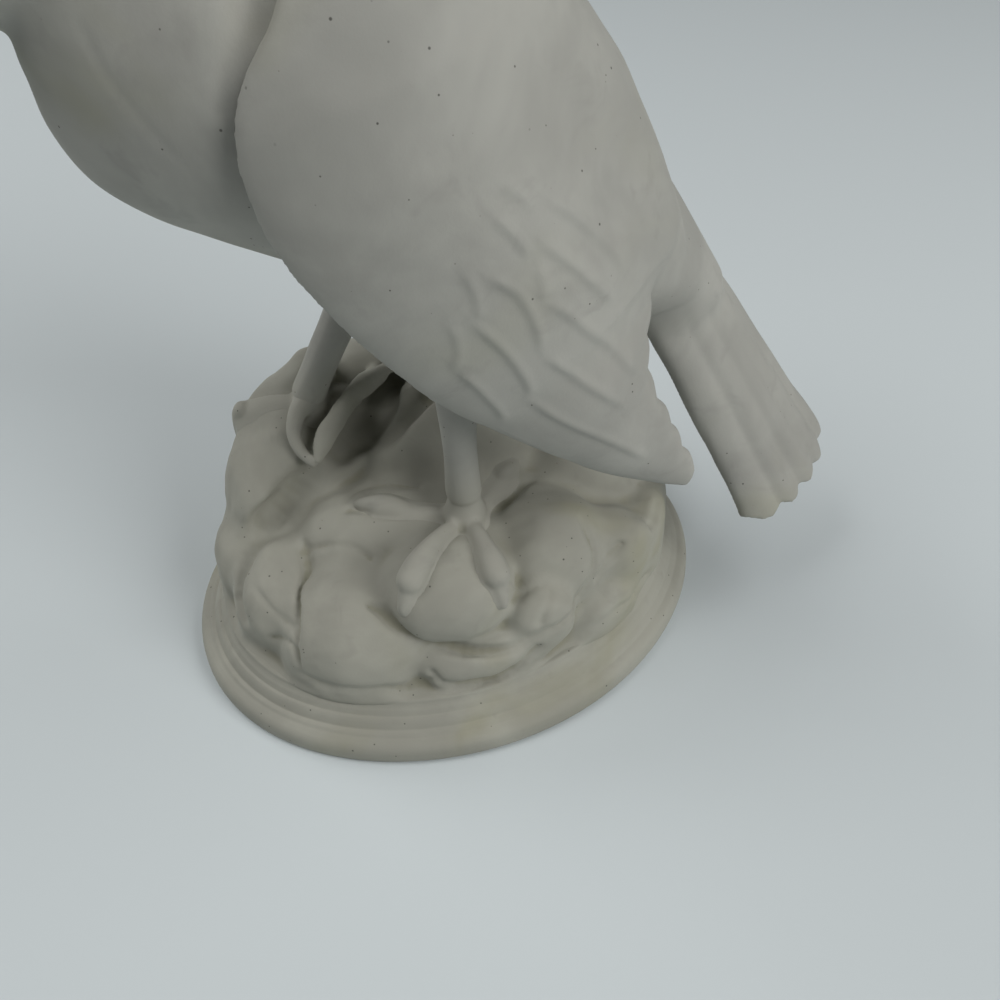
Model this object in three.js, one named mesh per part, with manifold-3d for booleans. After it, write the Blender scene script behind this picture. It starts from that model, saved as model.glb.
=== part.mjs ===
import * as THREE from 'three';
import { mergeVertices } from 'three/addons/utils/BufferGeometryUtils.js';
import Module from 'manifold-3d';

const wasm = await Module();
wasm.setup();

// Sizes are in millimetres. +X points to the tail, -Y to the bird's left, +Z up.
// The parts are drawn around the middle of the plinth's foot, and moved at the end.

// Luting and casting
const LUTING_GAP = 0.3;
const CLAY_WALL = 4.5;

// Oval plinth
const PLINTH_LENGTH = 157.5;
const PLINTH_WIDTH = 128.5;
const PLINTH_TURN = 12;
const PLINTH_RING_HEIGHT = 7.5;
const PLINTH_HEIGHT = 14;
const PLINTH_STEP = 2.6;
const PLINTH_LEDGE_WIDTH = 12;
const PLINTH_SEGMENTS = 56;

// Rock mound
const ROCK_INSET = 8.5;
const ROCK_HEIGHT_SCALE = 1;
const ROCK_UPRIGHT_HEIGHT = 14;
const ROCK_LEANING_HEIGHT = 60;
const ROCK_LEAN = 6;

// Body
const BODY_WIDTH = 72;
const HEAD_WIDTH = 42;
const EYE_DIAMETER = 8;

// Wings
const WING_THICKNESS = 9;
const WING_EDGE_THICKNESS = 2.4;
const WING_SCALLOP = 1.4;
const WING_SCALLOP_COUNT = 7;

// Tail
const TAIL_LENGTH = 83;
const TAIL_ROOT_WIDTH = 25;
const TAIL_END_WIDTH = 43;
const TAIL_ARCH = 6.4;
const TAIL_THICKNESS = 6;
const TAIL_EDGE_THICKNESS = 3.2;
const TAIL_FEATHERS = 7;
const TAIL_FLUTE = 0.9;
const TAIL_SCALLOP = 3.2;
const TAIL_SLOPE = 58.7;
const TAIL_SWING = 22;
const TAIL_TWIST = 25;

// Legs and feet
const SHANK_DIAMETER = 7.6;
const ANKLE_DIAMETER = 8.2;
const THIGH_DIAMETER = 25;
const LEFT_FOOT_HEIGHT = 11;
const RIGHT_FOOT_HEIGHT = 5;
const KNUCKLE_DIAMETER = 7.8;
const CLAW_LENGTH = 8.5;

const BISQUE = { color: 0xe4e2da, roughness: 0.82, metalness: 0 };

const rad = THREE.MathUtils.degToRad;
const lerp = THREE.MathUtils.lerp;
const v3 = (x, y, z) => new THREE.Vector3(x, y, z);

// Closed solids from rings of points

function solidOf(points, triangles) {
  const geometry = new THREE.BufferGeometry();
  const flat = points.flatMap((p) => [p.x, p.y, p.z]);
  geometry.setAttribute('position', new THREE.Float32BufferAttribute(flat, 3));
  geometry.setIndex(triangles.flat());
  const merged = mergeVertices(geometry, 1e-4);
  const mesh = new wasm.Mesh({
    numProp: 3,
    vertProperties: new Float32Array(merged.attributes.position.array),
    triVerts: new Uint32Array(merged.index.array),
  });
  const solid = new wasm.Manifold(mesh);
  return solid.volume() < 0 ? solidOf(points, triangles.map(([a, b, c]) => [a, c, b])) : solid;
}

function middle(ring) {
  const sum = ring.reduce((total, p) => total.add(p), v3(0, 0, 0));
  return sum.divideScalar(ring.length);
}

function loft(rings) {
  const count = rings[0].length;
  const points = rings.flat();
  const triangles = [];
  for (let i = 0; i < rings.length - 1; i += 1) {
    for (let j = 0; j < count; j += 1) {
      const next = (j + 1) % count;
      const a = i * count + j;
      const b = i * count + next;
      triangles.push([a, b, b + count], [a, b + count, a + count]);
    }
  }
  const last = (rings.length - 1) * count;
  const first = points.push(middle(rings[0])) - 1;
  const final = points.push(middle(rings[rings.length - 1])) - 1;
  for (let j = 0; j < count; j += 1) {
    const next = (j + 1) % count;
    triangles.push([first, next, j], [final, last + j, last + next]);
  }
  return solidOf(points, triangles);
}

// Rings that close on themselves, such as a hoop with its own section
function hoop(sections) {
  const count = sections[0].length;
  const triangles = [];
  sections.forEach((section, i) => {
    const following = ((i + 1) % sections.length) * count;
    for (let j = 0; j < count; j += 1) {
      const next = (j + 1) % count;
      const a = i * count + j;
      const b = i * count + next;
      triangles.push([a, b, following + next], [a, following + next, following + j]);
    }
  });
  return solidOf(sections.flat(), triangles);
}

function smooth(values, steps) {
  const curve = new THREE.CatmullRomCurve3(values, false, 'centripetal');
  return Array.from({ length: steps + 1 }, (_, i) => curve.getPoint(i / steps));
}

function ellipsoid(center, radii, turn = 0, around = 16, up = 9) {
  const rings = [];
  for (let i = 1; i < up; i += 1) {
    const tilt = (Math.PI * i) / up;
    const ring = [];
    for (let j = 0; j < around; j += 1) {
      const angle = (2 * Math.PI * (j + 0.5 * (i % 2))) / around;
      const p = v3(
        radii[0] * Math.sin(tilt) * Math.cos(angle),
        radii[1] * Math.sin(tilt) * Math.sin(angle),
        -radii[2] * Math.cos(tilt),
      );
      ring.push(p.applyAxisAngle(v3(0, 0, 1), rad(turn)).add(v3(...center)));
    }
    rings.push(ring);
  }
  return loft(rings);
}

// A round limb that follows points, each with its own radius
function limb(points, radii, sides = 12, steps = 10, flatten = 1) {
  const path = smooth(points, steps);
  const sizes = smooth(radii.map((r) => v3(r, 0, 0)), steps).map((p) => p.x);
  const whole = path[steps].clone().sub(path[0]).normalize();
  const helper = Math.abs(whole.z) > 0.7 ? v3(1, 0, 0) : v3(0, 0, 1);
  const rings = path.map((p, i) => {
    const before = path[Math.max(i - 1, 0)];
    const after = path[Math.min(i + 1, steps)];
    const along = after.clone().sub(before).normalize();
    const side = helper.clone().cross(along).normalize();
    const over = along.clone().cross(side);
    const ring = [];
    for (let j = 0; j < sides; j += 1) {
      const angle = (2 * Math.PI * j) / sides;
      const offset = side.clone().multiplyScalar(sizes[i] * Math.cos(angle));
      offset.addScaledVector(over, sizes[i] * flatten * Math.sin(angle));
      ring.push(offset.add(p));
    }
    return ring;
  });
  return loft(rings);
}

// The main body of a cut solid, without the crumbs that the cut leaves
function largest(solid) {
  return solid.decompose().reduce((a, b) => (a.volume() > b.volume() ? a : b));
}

function mirrored(solid) {
  return solid.mirror([0, 1, 0]);
}

// Plinth: a low oval hoop with a plain ring, two fine steps and a flat ledge

const plinthInsets = {
  ring: 0,
  firstStep: 2 * PLINTH_STEP,
  secondStep: 3 * PLINTH_STEP,
  inside: ROCK_INSET + PLINTH_LEDGE_WIDTH,
};

function plinthOval(inset, z) {
  const ring = [];
  for (let j = 0; j < PLINTH_SEGMENTS; j += 1) {
    const angle = (2 * Math.PI * j) / PLINTH_SEGMENTS;
    const x = (PLINTH_LENGTH / 2 - inset) * Math.cos(angle);
    const y = (PLINTH_WIDTH / 2 - inset) * Math.sin(angle);
    ring.push(v3(x, y, z).applyAxisAngle(v3(0, 0, 1), rad(PLINTH_TURN)));
  }
  return ring;
}

function plinthSolid() {
  const { ring, firstStep, secondStep, inside } = plinthInsets;
  const rise = PLINTH_HEIGHT - PLINTH_RING_HEIGHT;
  const rounding = 1.2;
  const profile = [
    [ring + rounding, 0],
    [ring, rounding],
    [ring, PLINTH_RING_HEIGHT - rounding],
    [ring + rounding, PLINTH_RING_HEIGHT],
    [firstStep - rounding, PLINTH_RING_HEIGHT + rise * 0.2],
    [firstStep, PLINTH_RING_HEIGHT + rise * 0.1],
    [firstStep + rounding, PLINTH_RING_HEIGHT + rise * 0.45],
    [secondStep - rounding, PLINTH_RING_HEIGHT + rise * 0.7],
    [secondStep, PLINTH_RING_HEIGHT + rise * 0.6],
    [secondStep + rounding, PLINTH_HEIGHT],
    [inside, PLINTH_HEIGHT],
    [inside - CLAY_WALL, PLINTH_HEIGHT - CLAY_WALL],
    [inside - 2 * CLAY_WALL, 0],
  ];
  return hoop(profile.map(([inset, z]) => plinthOval(inset, z)));
}

// Rock mound: soft boulders leaning on one another, with a crag under the right foot
// Each boulder: middle, radii, turn about the vertical

const BOULDERS = [
  [[7, -2, 14], [56, 44, 34], 12],
  [[8, 17, 38], [32, 24, 28], 0],
  [[-38, 25, 34], [22, 25, 32], 0],
  [[-13, 38, 42], [19, 13, 24], 0],
  [[-16, 20, 50], [26, 5, 20], 42],
  [[-50, 12, 28], [13, 19, 28], 0],
  [[-59, 2, 20], [11, 13, 17], 0],
  [[-48, -15, 22], [15, 18, 18], 0],
  [[-27, -31, 20], [23, 21, 21], 0],
  [[-20, -10, 33], [22, 15, 15], 0],
  [[-2, -33, 37], [18, 17, 13], 0],
  [[4, -43, 21], [20, 11, 10], 4],
  [[21, -41, 28], [10, 9, 11], 0],
  [[28, -23, 32], [17, 17, 18], 0],
  [[46, -22, 26], [13, 12, 16], 0],
  [[59, -12, 23], [10, 14, 15], 0],
  [[40, -35, 17], [14, 9, 10], 0],
  [[60, 6, 22], [12, 16, 18], 0],
  [[43, 8, 33], [21, 21, 23], 0],
  [[-30, 38, 21], [19, 13, 20], 0],
  [[26, 40, 23], [19, 14, 20], 0],
  [[48, 28, 21], [15, 15, 17], 0],
  [[-55, 26, 19], [10, 14, 14], 0],
];

// The crag ends in a ridge along its back
const PEAK = {
  path: [[-31, 28, 69], [-40, 27, 62], [-49, 25, 55]],
  radii: [6, 5.5, 5],
};

// A deep valley parts the crag from the rest of the mound
const VALLEY = {
  path: [[-2, 15, 64], [-13, 10, 61], [-31, 0, 52], [-51, -4, 43], [-63, -23, 28]],
  radii: [5, 7, 4.5, 3, 1.6],
};

// A hollow in the face of the crag, beside the right foot
const CLEFT = {
  path: [[-28, 19, 63], [-30, 13, 61], [-32.5, 7, 58]],
  radii: [2.6, 3, 1.6],
};

// The mound was cast hollow: middle, radii and turn of each part of its inside
const MOUND_HOLLOWS = [
  [[6, 2, PLINTH_HEIGHT - 6], [50, 38, 30], PLINTH_TURN],
  [[-34, 20, 26], [12, 15, 22], 0],
  [[8, 18, 30], [24, 15, 22], 0],
];

function raised(z) {
  return PLINTH_HEIGHT + (z - PLINTH_HEIGHT) * ROCK_HEIGHT_SCALE;
}

function rockLimb({ path, radii }, grow) {
  const points = path.map(([x, y, z]) => v3(x, y, raised(z)));
  return limb(points, radii.map((r) => r + grow), 10, 12);
}

function rockSolid(grow) {
  const boulders = BOULDERS.map(([center, radii, turn]) => {
    const size = radii.map((r) => r + grow);
    return ellipsoid([center[0], center[1], raised(center[2])], size, turn);
  });
  const heap = boulders.reduce((sum, boulder) => sum.add(boulder)).add(rockLimb(PEAK, grow));
  const parted = heap.subtract(rockLimb(VALLEY, -grow)).subtract(rockLimb(CLEFT, -grow));
  const foot = PLINTH_HEIGHT + LUTING_GAP - grow;
  const inset = ROCK_INSET - grow;
  const outline = [[0, foot], [0, foot + ROCK_UPRIGHT_HEIGHT], [ROCK_LEAN, foot + ROCK_LEANING_HEIGHT]];
  return parted.intersect(loft(outline.map(([lean, z]) => plinthOval(inset + lean, z))));
}

function rockShell() {
  const hollows = MOUND_HOLLOWS.map(([center, radii, turn]) => ellipsoid(center, radii, turn));
  return rockSolid(0).subtract(hollows.reduce((sum, part) => sum.add(part)));
}

// The height of a solid's top at any place in plan
function surfaceOf(solid) {
  const top = solid.boundingBox().max[2];
  const mesh = meshFrom(solid, 'probe');
  mesh.material.side = THREE.DoubleSide;
  mesh.updateMatrixWorld(true);
  const caster = new THREE.Raycaster();
  return (x, y) => {
    caster.set(v3(x, y, top + 1), v3(0, 0, -1));
    const hits = caster.intersectObject(mesh);
    return hits.length > 0 ? hits[0].point.z : PLINTH_HEIGHT;
  };
}

// Body: sections between a point on the back and a point on the belly, with a half width
// as a share of the whole width

const BODY_SECTIONS = [
  { back: [74.5, 101], belly: [62, 97], width: 0.09 },
  { back: [68.5, 112.5], belly: [50, 99], width: 0.19 },
  { back: [60, 127], belly: [36, 101], width: 0.31 },
  { back: [51.5, 141], belly: [18, 108], width: 0.4 },
  { back: [44, 155], belly: [0, 116], width: 0.46 },
  { back: [35, 170], belly: [-18, 124.5], width: 0.5 },
  { back: [26, 182], belly: [-36, 133], width: 0.51 },
  { back: [16, 193], belly: [-52, 141], width: 0.49 },
  { back: [4, 201], belly: [-61.5, 149.5], width: 0.46 },
  { back: [-10, 206], belly: [-66, 160.5], width: 0.41 },
  { back: [-24, 210], belly: [-67, 171], width: 0.36 },
  { back: [-38, 215], belly: [-67.5, 178], width: 0.31 },
];

const HEAD_SECTIONS = [
  { back: [-38, 215], belly: [-67.5, 178], width: 0.53 },
  { back: [-49, 221.5], belly: [-76, 180.5], width: 0.52 },
  { back: [-61, 226], belly: [-84, 183], width: 0.51 },
  { back: [-73, 227.5], belly: [-91, 187], width: 0.48 },
  { back: [-84, 225], belly: [-96, 191], width: 0.42, hasEyes: true },
  { back: [-92, 219], belly: [-99.5, 194.5], width: 0.33 },
  { back: [-98, 213], belly: [-102, 197], width: 0.24 },
  { back: [-105, 209.5], belly: [-104, 197.5], width: 0.17 },
  { back: [-110.5, 203], belly: [-106, 196.5], width: 0.11 },
  { back: [-112, 196], belly: [-108.5, 193.5], width: 0.06 },
  { back: [-111, 190.5], belly: [-110, 190], width: 0.015 },
];

function sectionRings(sections, fullWidth, grow, steps, sides) {
  const backs = smooth(sections.map((s) => v3(s.back[0], 0, s.back[1])), steps);
  const bellies = smooth(sections.map((s) => v3(s.belly[0], 0, s.belly[1])), steps);
  const widths = smooth(sections.map((s) => v3(s.width * fullWidth, 0, 0)), steps);
  return backs.map((back, i) => {
    const center = back.clone().add(bellies[i]).multiplyScalar(0.5);
    const up = back.clone().sub(bellies[i]);
    const half = Math.max(up.length() / 2 + grow, 0.4);
    const wide = Math.max(widths[i].x + grow, 0.4);
    up.normalize();
    const ring = [];
    for (let j = 0; j < sides; j += 1) {
      const angle = (2 * Math.PI * j) / sides;
      const p = center.clone().addScaledVector(up, half * Math.cos(angle));
      const taper = 1 + 0.06 * Math.cos(angle);
      p.y += wide * taper * Math.sin(angle);
      ring.push(p);
    }
    return ring;
  });
}

function shifted(ring, direction, distance) {
  return ring.map((p) => p.clone().addScaledVector(direction, distance));
}

const neck = BODY_SECTIONS[BODY_SECTIONS.length - 1];
const neckAcross = v3(neck.back[0] - neck.belly[0], 0, neck.back[1] - neck.belly[1]);
const neckAxis = neckAcross.clone().cross(v3(0, 1, 0)).normalize();

function torsoSolid(grow) {
  const rings = sectionRings(BODY_SECTIONS, BODY_WIDTH, grow, 20, 24);
  if (grow > 0) {
    rings.unshift(shifted(rings[0], v3(0.5, 0, -0.8), grow));
    rings.push(shifted(rings[rings.length - 1], neckAxis, grow));
  }
  return loft(rings);
}

// The torso was slip-cast as a shell that is open at the neck
function torsoShell() {
  const inner = sectionRings(BODY_SECTIONS, BODY_WIDTH, -CLAY_WALL, 12, 16).slice(1);
  inner.push(shifted(inner[inner.length - 1], neckAxis, CLAY_WALL));
  return torsoSolid(0).subtract(loft(inner));
}

function headSolid() {
  const rings = sectionRings(HEAD_SECTIONS, HEAD_WIDTH, 0, 20, 20);
  rings[0] = shifted(rings[0], neckAxis, LUTING_GAP);
  const skull = loft(rings);
  const inner = sectionRings(HEAD_SECTIONS.slice(0, 5), HEAD_WIDTH, -CLAY_WALL, 8, 14);
  inner.unshift(shifted(inner[0], neckAxis, -CLAY_WALL));
  const radius = EYE_DIAMETER / 2;
  const { back, belly, width } = HEAD_SECTIONS.find((section) => section.hasEyes);
  const eyes = [-1, 1].map((side) => {
    const place = [lerp(belly[0], back[0], 0.6), side * width * HEAD_WIDTH * 0.9];
    return ellipsoid([...place, lerp(belly[1], back[1], 0.6)], [radius, radius * 0.7, radius]);
  });
  return skull.add(eyes[0]).add(eyes[1]).subtract(loft(inner)).subtract(torsoSolid(LUTING_GAP));
}

// Wing: stations from the shoulder to the tip; each joins a point on the leading edge
// to a point on the upper or trailing edge, with an outward bulge between them

const WING_STATIONS = [
  { lead: [-11, -27, 196], trail: [0, -17, 202], bulge: 1 },
  { lead: [-22, -35, 184], trail: [16, -15, 194], bulge: 7 },
  { lead: [-29.5, -38, 169], trail: [29, -11, 182], bulge: 12 },
  { lead: [-28.5, -39, 151], trail: [40, -8, 167.5], bulge: 15 },
  { lead: [-20.5, -40, 134], trail: [48, -7, 152.5], bulge: 16 },
  { lead: [-8.5, -40, 116], trail: [54, -7, 138], bulge: 16 },
  { lead: [4.5, -39, 101], trail: [56.5, -13, 124.5], bulge: 13 },
  { lead: [20, -38, 88], trail: [50.5, -26, 114], bulge: 8 },
  { lead: [36, -37, 76.5], trail: [50, -33, 101], bulge: 4 },
  { lead: [50, -36.5, 69.5], trail: [56, -35, 86], bulge: 1.5 },
  { lead: [60, -36.5, 66], trail: [62.5, -35.5, 72], bulge: 0.5 },
];

function wingSolid(grow) {
  const steps = 30;
  const across = 8;
  const leads = smooth(WING_STATIONS.map((s) => v3(...s.lead)), steps);
  const trails = smooth(WING_STATIONS.map((s) => v3(...s.trail)), steps);
  const bulges = smooth(WING_STATIONS.map((s) => v3(s.bulge, 0, 0)), steps);
  const rings = leads.map((lead, i) => {
    const trail = trails[i].clone();
    const along = i / steps;
    const chord = trail.clone().sub(lead);
    const wave = Math.abs(Math.sin(Math.PI * WING_SCALLOP_COUNT * (along - 0.62) / 0.38));
    const free = THREE.MathUtils.smoothstep(along, 0.6, 0.68);
    const short = Math.min(WING_SCALLOP * free * (1 - wave), chord.length() * 0.25);
    trail.addScaledVector(chord.clone().normalize(), -short);
    chord.copy(trail).sub(lead);
    const before = leads[Math.max(i - 1, 0)].clone().add(trails[Math.max(i - 1, 0)]);
    const after = leads[Math.min(i + 1, steps)].clone().add(trails[Math.min(i + 1, steps)]);
    const outward = after.sub(before).cross(chord).normalize();
    outward.multiplyScalar(outward.y > 0 ? -1 : 1);
    const thick = Math.min(WING_THICKNESS, WING_EDGE_THICKNESS + chord.length() * 0.16);
    const outer = [];
    const inner = [];
    for (let j = 0; j <= across; j += 1) {
      const share = j / across;
      const dome = 4 * share * (1 - share);
      const p = lead.clone().addScaledVector(chord, share);
      const rim = j === 0 || j === across ? 0.5 : 1;
      const edge = lerp(WING_EDGE_THICKNESS, thick, Math.sqrt(dome));
      const reach = bulges[i].x * dome + edge * 0.5 * rim + grow;
      outer.push(p.clone().addScaledVector(outward, reach));
      inner.push(p.clone().addScaledVector(outward, reach - edge * rim - 2 * grow));
    }
    return [...outer, ...inner.reverse()];
  });
  return loft(rings);
}

// Tail: an arched fan of feathers, each a flute with a rounded end

function tailFrame() {
  const slope = rad(TAIL_SLOPE);
  const swing = rad(TAIL_SWING);
  const twist = rad(TAIL_TWIST);
  const level = Math.cos(slope);
  const along = v3(level * Math.cos(swing), -level * Math.sin(swing), -Math.sin(slope));
  const flat = v3(Math.sin(swing), Math.cos(swing), 0);
  const above = along.clone().cross(flat).normalize();
  above.multiplyScalar(above.z < 0 ? -1 : 1);
  const wide = flat.clone().multiplyScalar(Math.cos(twist)).addScaledVector(above, Math.sin(twist));
  const over = above.clone().multiplyScalar(Math.cos(twist));
  over.addScaledVector(flat, -Math.sin(twist));
  return { along, wide, over };
}

const tailRoot = v3(66.7, 0, 109);

function tailSolid() {
  const { along, wide, over } = tailFrame();
  const steps = 8;
  const lanes = TAIL_FEATHERS * 4;
  const rootDepth = -20;
  const rings = [];
  for (let i = 0; i <= steps; i += 1) {
    const share = i / steps;
    const half = lerp(TAIL_ROOT_WIDTH, TAIL_END_WIDTH, share ** 1.4) / 2;
    const upper = [];
    const lower = [];
    for (let j = 0; j <= lanes; j += 1) {
      const side = (2 * j) / lanes - 1;
      const feather = Math.abs(Math.sin((Math.PI * TAIL_FEATHERS * j) / lanes));
      const roundEnd = 4 * side * side;
      const reach = TAIL_LENGTH - (TAIL_SCALLOP * (1 - feather) + roundEnd) * share ** 8;
      const drop = TAIL_ARCH * side * side - TAIL_FLUTE * feather * share;
      const edge = Math.sqrt(Math.max(1 - side ** 4, 0));
      const thick = lerp(TAIL_EDGE_THICKNESS, TAIL_THICKNESS, edge * (1 - 0.35 * share));
      const rim = Math.abs(side) === 1 ? 0.3 : 1;
      const p = tailRoot.clone().addScaledVector(along, lerp(rootDepth, reach, share));
      p.addScaledVector(wide, half * side).addScaledVector(over, -drop);
      upper.push(p.clone().addScaledVector(over, -thick * (1 - rim) * 0.5));
      lower.push(p.clone().addScaledVector(over, -thick * (1 + rim) * 0.5));
    }
    rings.push([...upper, ...lower.reverse()]);
  }
  return loft(rings);
}

// Legs: feathered thigh, bare shank, and a luting seam just above the toes

const LEFT = {
  ankle: [5.5, -18],
  knee: [5.5, -20, 100],
  hip: [14, -20, 122],
  footHeight: LEFT_FOOT_HEIGHT,
  toes: [[161, 25], [231, 28], [281, 23.5], [50, 13]],
};
const RIGHT = {
  ankle: [-32, 18],
  knee: [-14, 19, 103],
  hip: [2, 20, 124],
  footHeight: RIGHT_FOOT_HEIGHT,
  toes: [[164, 19], [254, 13], [35, 10]],
};

// Along a toe and a claw: share of the length, and thickness as a share of the knuckle's
const TOE_STATIONS = [[0, 0.77], [0.2, 0.5], [0.4, 0.52], [0.65, 0.67], [0.85, 0.92], [1, 1], [1.1, 0.7]];
const CLAW_STATIONS = [[0, 0.75], [0.3, 0.7], [0.6, 0.5], [0.85, 0.34], [1, 0.16]];
const TOE_LIFT = 0.3;
const CLAW_LIFT = 0.3;
const CLAW_FALL = 1.5;

function legSolid(leg, ground) {
  const [x, y] = leg.ankle;
  const knee = v3(...leg.knee);
  const ankle = v3(x, y, ground(x, y) + leg.footHeight - LUTING_GAP);
  const shin = ankle.clone().lerp(knee, 0.55);
  const low = ankle.clone().lerp(knee, 0.2);
  const radii = [ANKLE_DIAMETER, SHANK_DIAMETER, SHANK_DIAMETER, THIGH_DIAMETER * 0.5];
  radii.push(THIGH_DIAMETER);
  return limb([ankle, low, shin, knee, v3(...leg.hip)], radii.map((d) => d / 2), 14, 12);
}

// A toe follows the rock from the ankle outwards, swells to its knuckle and ends in a claw
// that bends down. It never falls away faster than it runs, so it bridges the rock's hollows.
function toeSolid(leg, ground, [direction, length], grow) {
  const [x, y] = leg.ankle;
  const ahead = v3(Math.cos(rad(direction)), Math.sin(rad(direction)), 0);
  const walk = (start, distances, lifts, steepest) => {
    const path = [start];
    distances.forEach((distance, i) => {
      const p = v3(x, y, 0).addScaledVector(ahead, distance);
      const run = Math.hypot(p.x - path[i].x, p.y - path[i].y);
      p.z = Math.max(ground(p.x, p.y) + lifts[i], path[i].z - run * steepest);
      path.push(p);
    });
    return path;
  };
  const toeSizes = TOE_STATIONS.map(([, share]) => share * KNUCKLE_DIAMETER);
  const toeSpots = TOE_STATIONS.map(([share]) => share * length).slice(1);
  const toeLifts = toeSizes.slice(1).map((size) => size * TOE_LIFT);
  const toePath = walk(v3(x, y, ground(x, y) + leg.footHeight * 0.45), toeSpots, toeLifts, 1);
  const clawSizes = CLAW_STATIONS.map(([, share]) => share * KNUCKLE_DIAMETER);
  const clawSpots = CLAW_STATIONS.map(([share]) => length + share * CLAW_LENGTH).slice(1);
  const clawLifts = clawSizes.slice(1).map((size) => size * CLAW_LIFT);
  const knuckle = toePath[toePath.length - 2];
  const clawPath = walk(knuckle, clawSpots, clawLifts, CLAW_FALL);
  const toe = limb(toePath, toeSizes.map((size) => size / 2 + grow), 8, 12);
  return toe.add(limb(clawPath, clawSizes.map((size) => size / 2 + grow), 6, 6));
}

function footSolid(leg, ground, grow) {
  const [x, y] = leg.ankle;
  const top = ground(x, y) + leg.footHeight;
  const radii = [1, 1.1, 1.35, 1.5].map((share) => (share * ANKLE_DIAMETER) / 2 + grow);
  const depths = [-grow, leg.footHeight * 0.3, leg.footHeight * 0.65, leg.footHeight + 2];
  const instep = limb(depths.map((depth) => v3(x, y, top - depth)), radii, 14, 6);
  return leg.toes.reduce((sum, toe) => sum.add(toeSolid(leg, ground, toe, grow)), instep);
}

// Meshes

function meshFrom(solid, name) {
  const source = solid.getMesh();
  const geometry = new THREE.BufferGeometry();
  const stride = source.numProp;
  const positions = [];
  for (let i = 0; i < source.vertProperties.length; i += stride) {
    positions.push(...source.vertProperties.slice(i, i + 3));
  }
  geometry.setAttribute('position', new THREE.Float32BufferAttribute(positions, 3));
  geometry.setIndex(Array.from(source.triVerts));
  geometry.computeVertexNormals();
  const mesh = new THREE.Mesh(geometry, new THREE.MeshStandardMaterial(BISQUE));
  mesh.name = name;
  return mesh;
}

function falcon() {
  const rock = rockSolid(0);
  const ground = surfaceOf(rock);
  const rockSeat = rockSolid(LUTING_GAP);
  const torsoSeat = torsoSolid(LUTING_GAP);
  const wing = largest(wingSolid(0).subtract(torsoSeat));
  const wingSeats = wingSolid(LUTING_GAP).add(mirrored(wingSolid(LUTING_GAP)));
  const tail = largest(tailSolid().subtract(torsoSeat).subtract(wingSeats));
  const bird = torsoSeat.add(wingSeats).add(rockSeat);
  const foot = (leg) => largest(footSolid(leg, ground, 0).subtract(rockSeat));
  const shank = (leg) =>
    largest(legSolid(leg, ground).subtract(bird).subtract(footSolid(leg, ground, LUTING_GAP)));
  const parts = {
    plinth: plinthSolid(),
    rock_mound: rockShell(),
    left_foot: foot(LEFT),
    right_foot: foot(RIGHT),
    left_leg: shank(LEFT),
    right_leg: shank(RIGHT),
    torso: torsoShell(),
    tail,
    left_wing: wing,
    right_wing: mirrored(wing),
    head: headSolid(),
  };
  const group = new THREE.Group();
  group.name = 'porcelain_falcon_figurine';
  Object.entries(parts).forEach(([name, solid]) => group.add(meshFrom(solid, name)));
  const box = new THREE.Box3().setFromObject(group);
  const center = box.getCenter(v3(0, 0, 0));
  group.children.forEach((mesh) => mesh.geometry.translate(-center.x, -center.y, -box.min.z));
  return group;
}

export default falcon();
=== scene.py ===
import copy
import math

import bpy
import numpy as np
import openvdb
from mathutils import Matrix, Vector
from mathutils.bvhtree import BVHTree

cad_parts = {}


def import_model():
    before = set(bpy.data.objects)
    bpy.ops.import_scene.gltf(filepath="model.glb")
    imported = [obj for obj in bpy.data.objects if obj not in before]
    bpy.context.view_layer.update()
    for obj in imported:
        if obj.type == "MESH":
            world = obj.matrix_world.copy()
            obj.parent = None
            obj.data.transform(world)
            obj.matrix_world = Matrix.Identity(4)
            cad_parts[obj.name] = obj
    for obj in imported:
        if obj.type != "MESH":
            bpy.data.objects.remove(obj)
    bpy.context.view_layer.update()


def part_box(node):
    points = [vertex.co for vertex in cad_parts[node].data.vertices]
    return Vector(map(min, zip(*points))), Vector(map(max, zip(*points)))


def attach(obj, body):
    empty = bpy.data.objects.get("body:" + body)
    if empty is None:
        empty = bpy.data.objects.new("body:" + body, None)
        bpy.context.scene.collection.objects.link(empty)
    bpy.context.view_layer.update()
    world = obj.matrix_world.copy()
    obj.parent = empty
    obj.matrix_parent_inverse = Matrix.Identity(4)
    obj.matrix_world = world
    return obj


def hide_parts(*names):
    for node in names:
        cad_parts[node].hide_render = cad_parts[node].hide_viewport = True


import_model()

# Everything is drawn in millimetres around the middle of the plinth's foot, as in the CAD,
# and goes into the frame in metres at the end.
METRES = 0.001
PLINTH_LOW, PLINTH_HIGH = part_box("plinth")
MIDDLE = np.array([(PLINTH_LOW[0] + PLINTH_HIGH[0]) / 2, (PLINTH_LOW[1] + PLINTH_HIGH[1]) / 2, 0])
SIDES = (1, -1)

# Sizes of the CAD model
PLINTH_LENGTH = 157.5
PLINTH_WIDTH = 128.5
PLINTH_TURN = math.radians(12)
PLINTH_RING_HEIGHT = 7.5
PLINTH_HEIGHT = 14
ROCK_INSET = 8.5
BODY_WIDTH = 72
HEAD_WIDTH = 42
WING_THICKNESS = 9
WING_EDGE_THICKNESS = 2.4
WING_SCALLOP = 1.4
WING_SCALLOP_COUNT = 7
TAIL_LENGTH = 83
TAIL_ROOT_WIDTH = 25
TAIL_END_WIDTH = 43
TAIL_ARCH = 6.4
TAIL_THICKNESS = 6
TAIL_EDGE_THICKNESS = 3.2
TAIL_FEATHERS = 5  # 7 narrower ones in the CAD
TAIL_FLUTE = 1.2  # 0.9 in the CAD
TAIL_SCALLOP = 3.2
TAIL_SLOPE = math.radians(58.7)
TAIL_SWING = math.radians(22)
TAIL_TWIST = math.radians(25)
TAIL_ROOT = np.array([66.7, 0, 109])
TAIL_ROOT_DEPTH = -20


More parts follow.
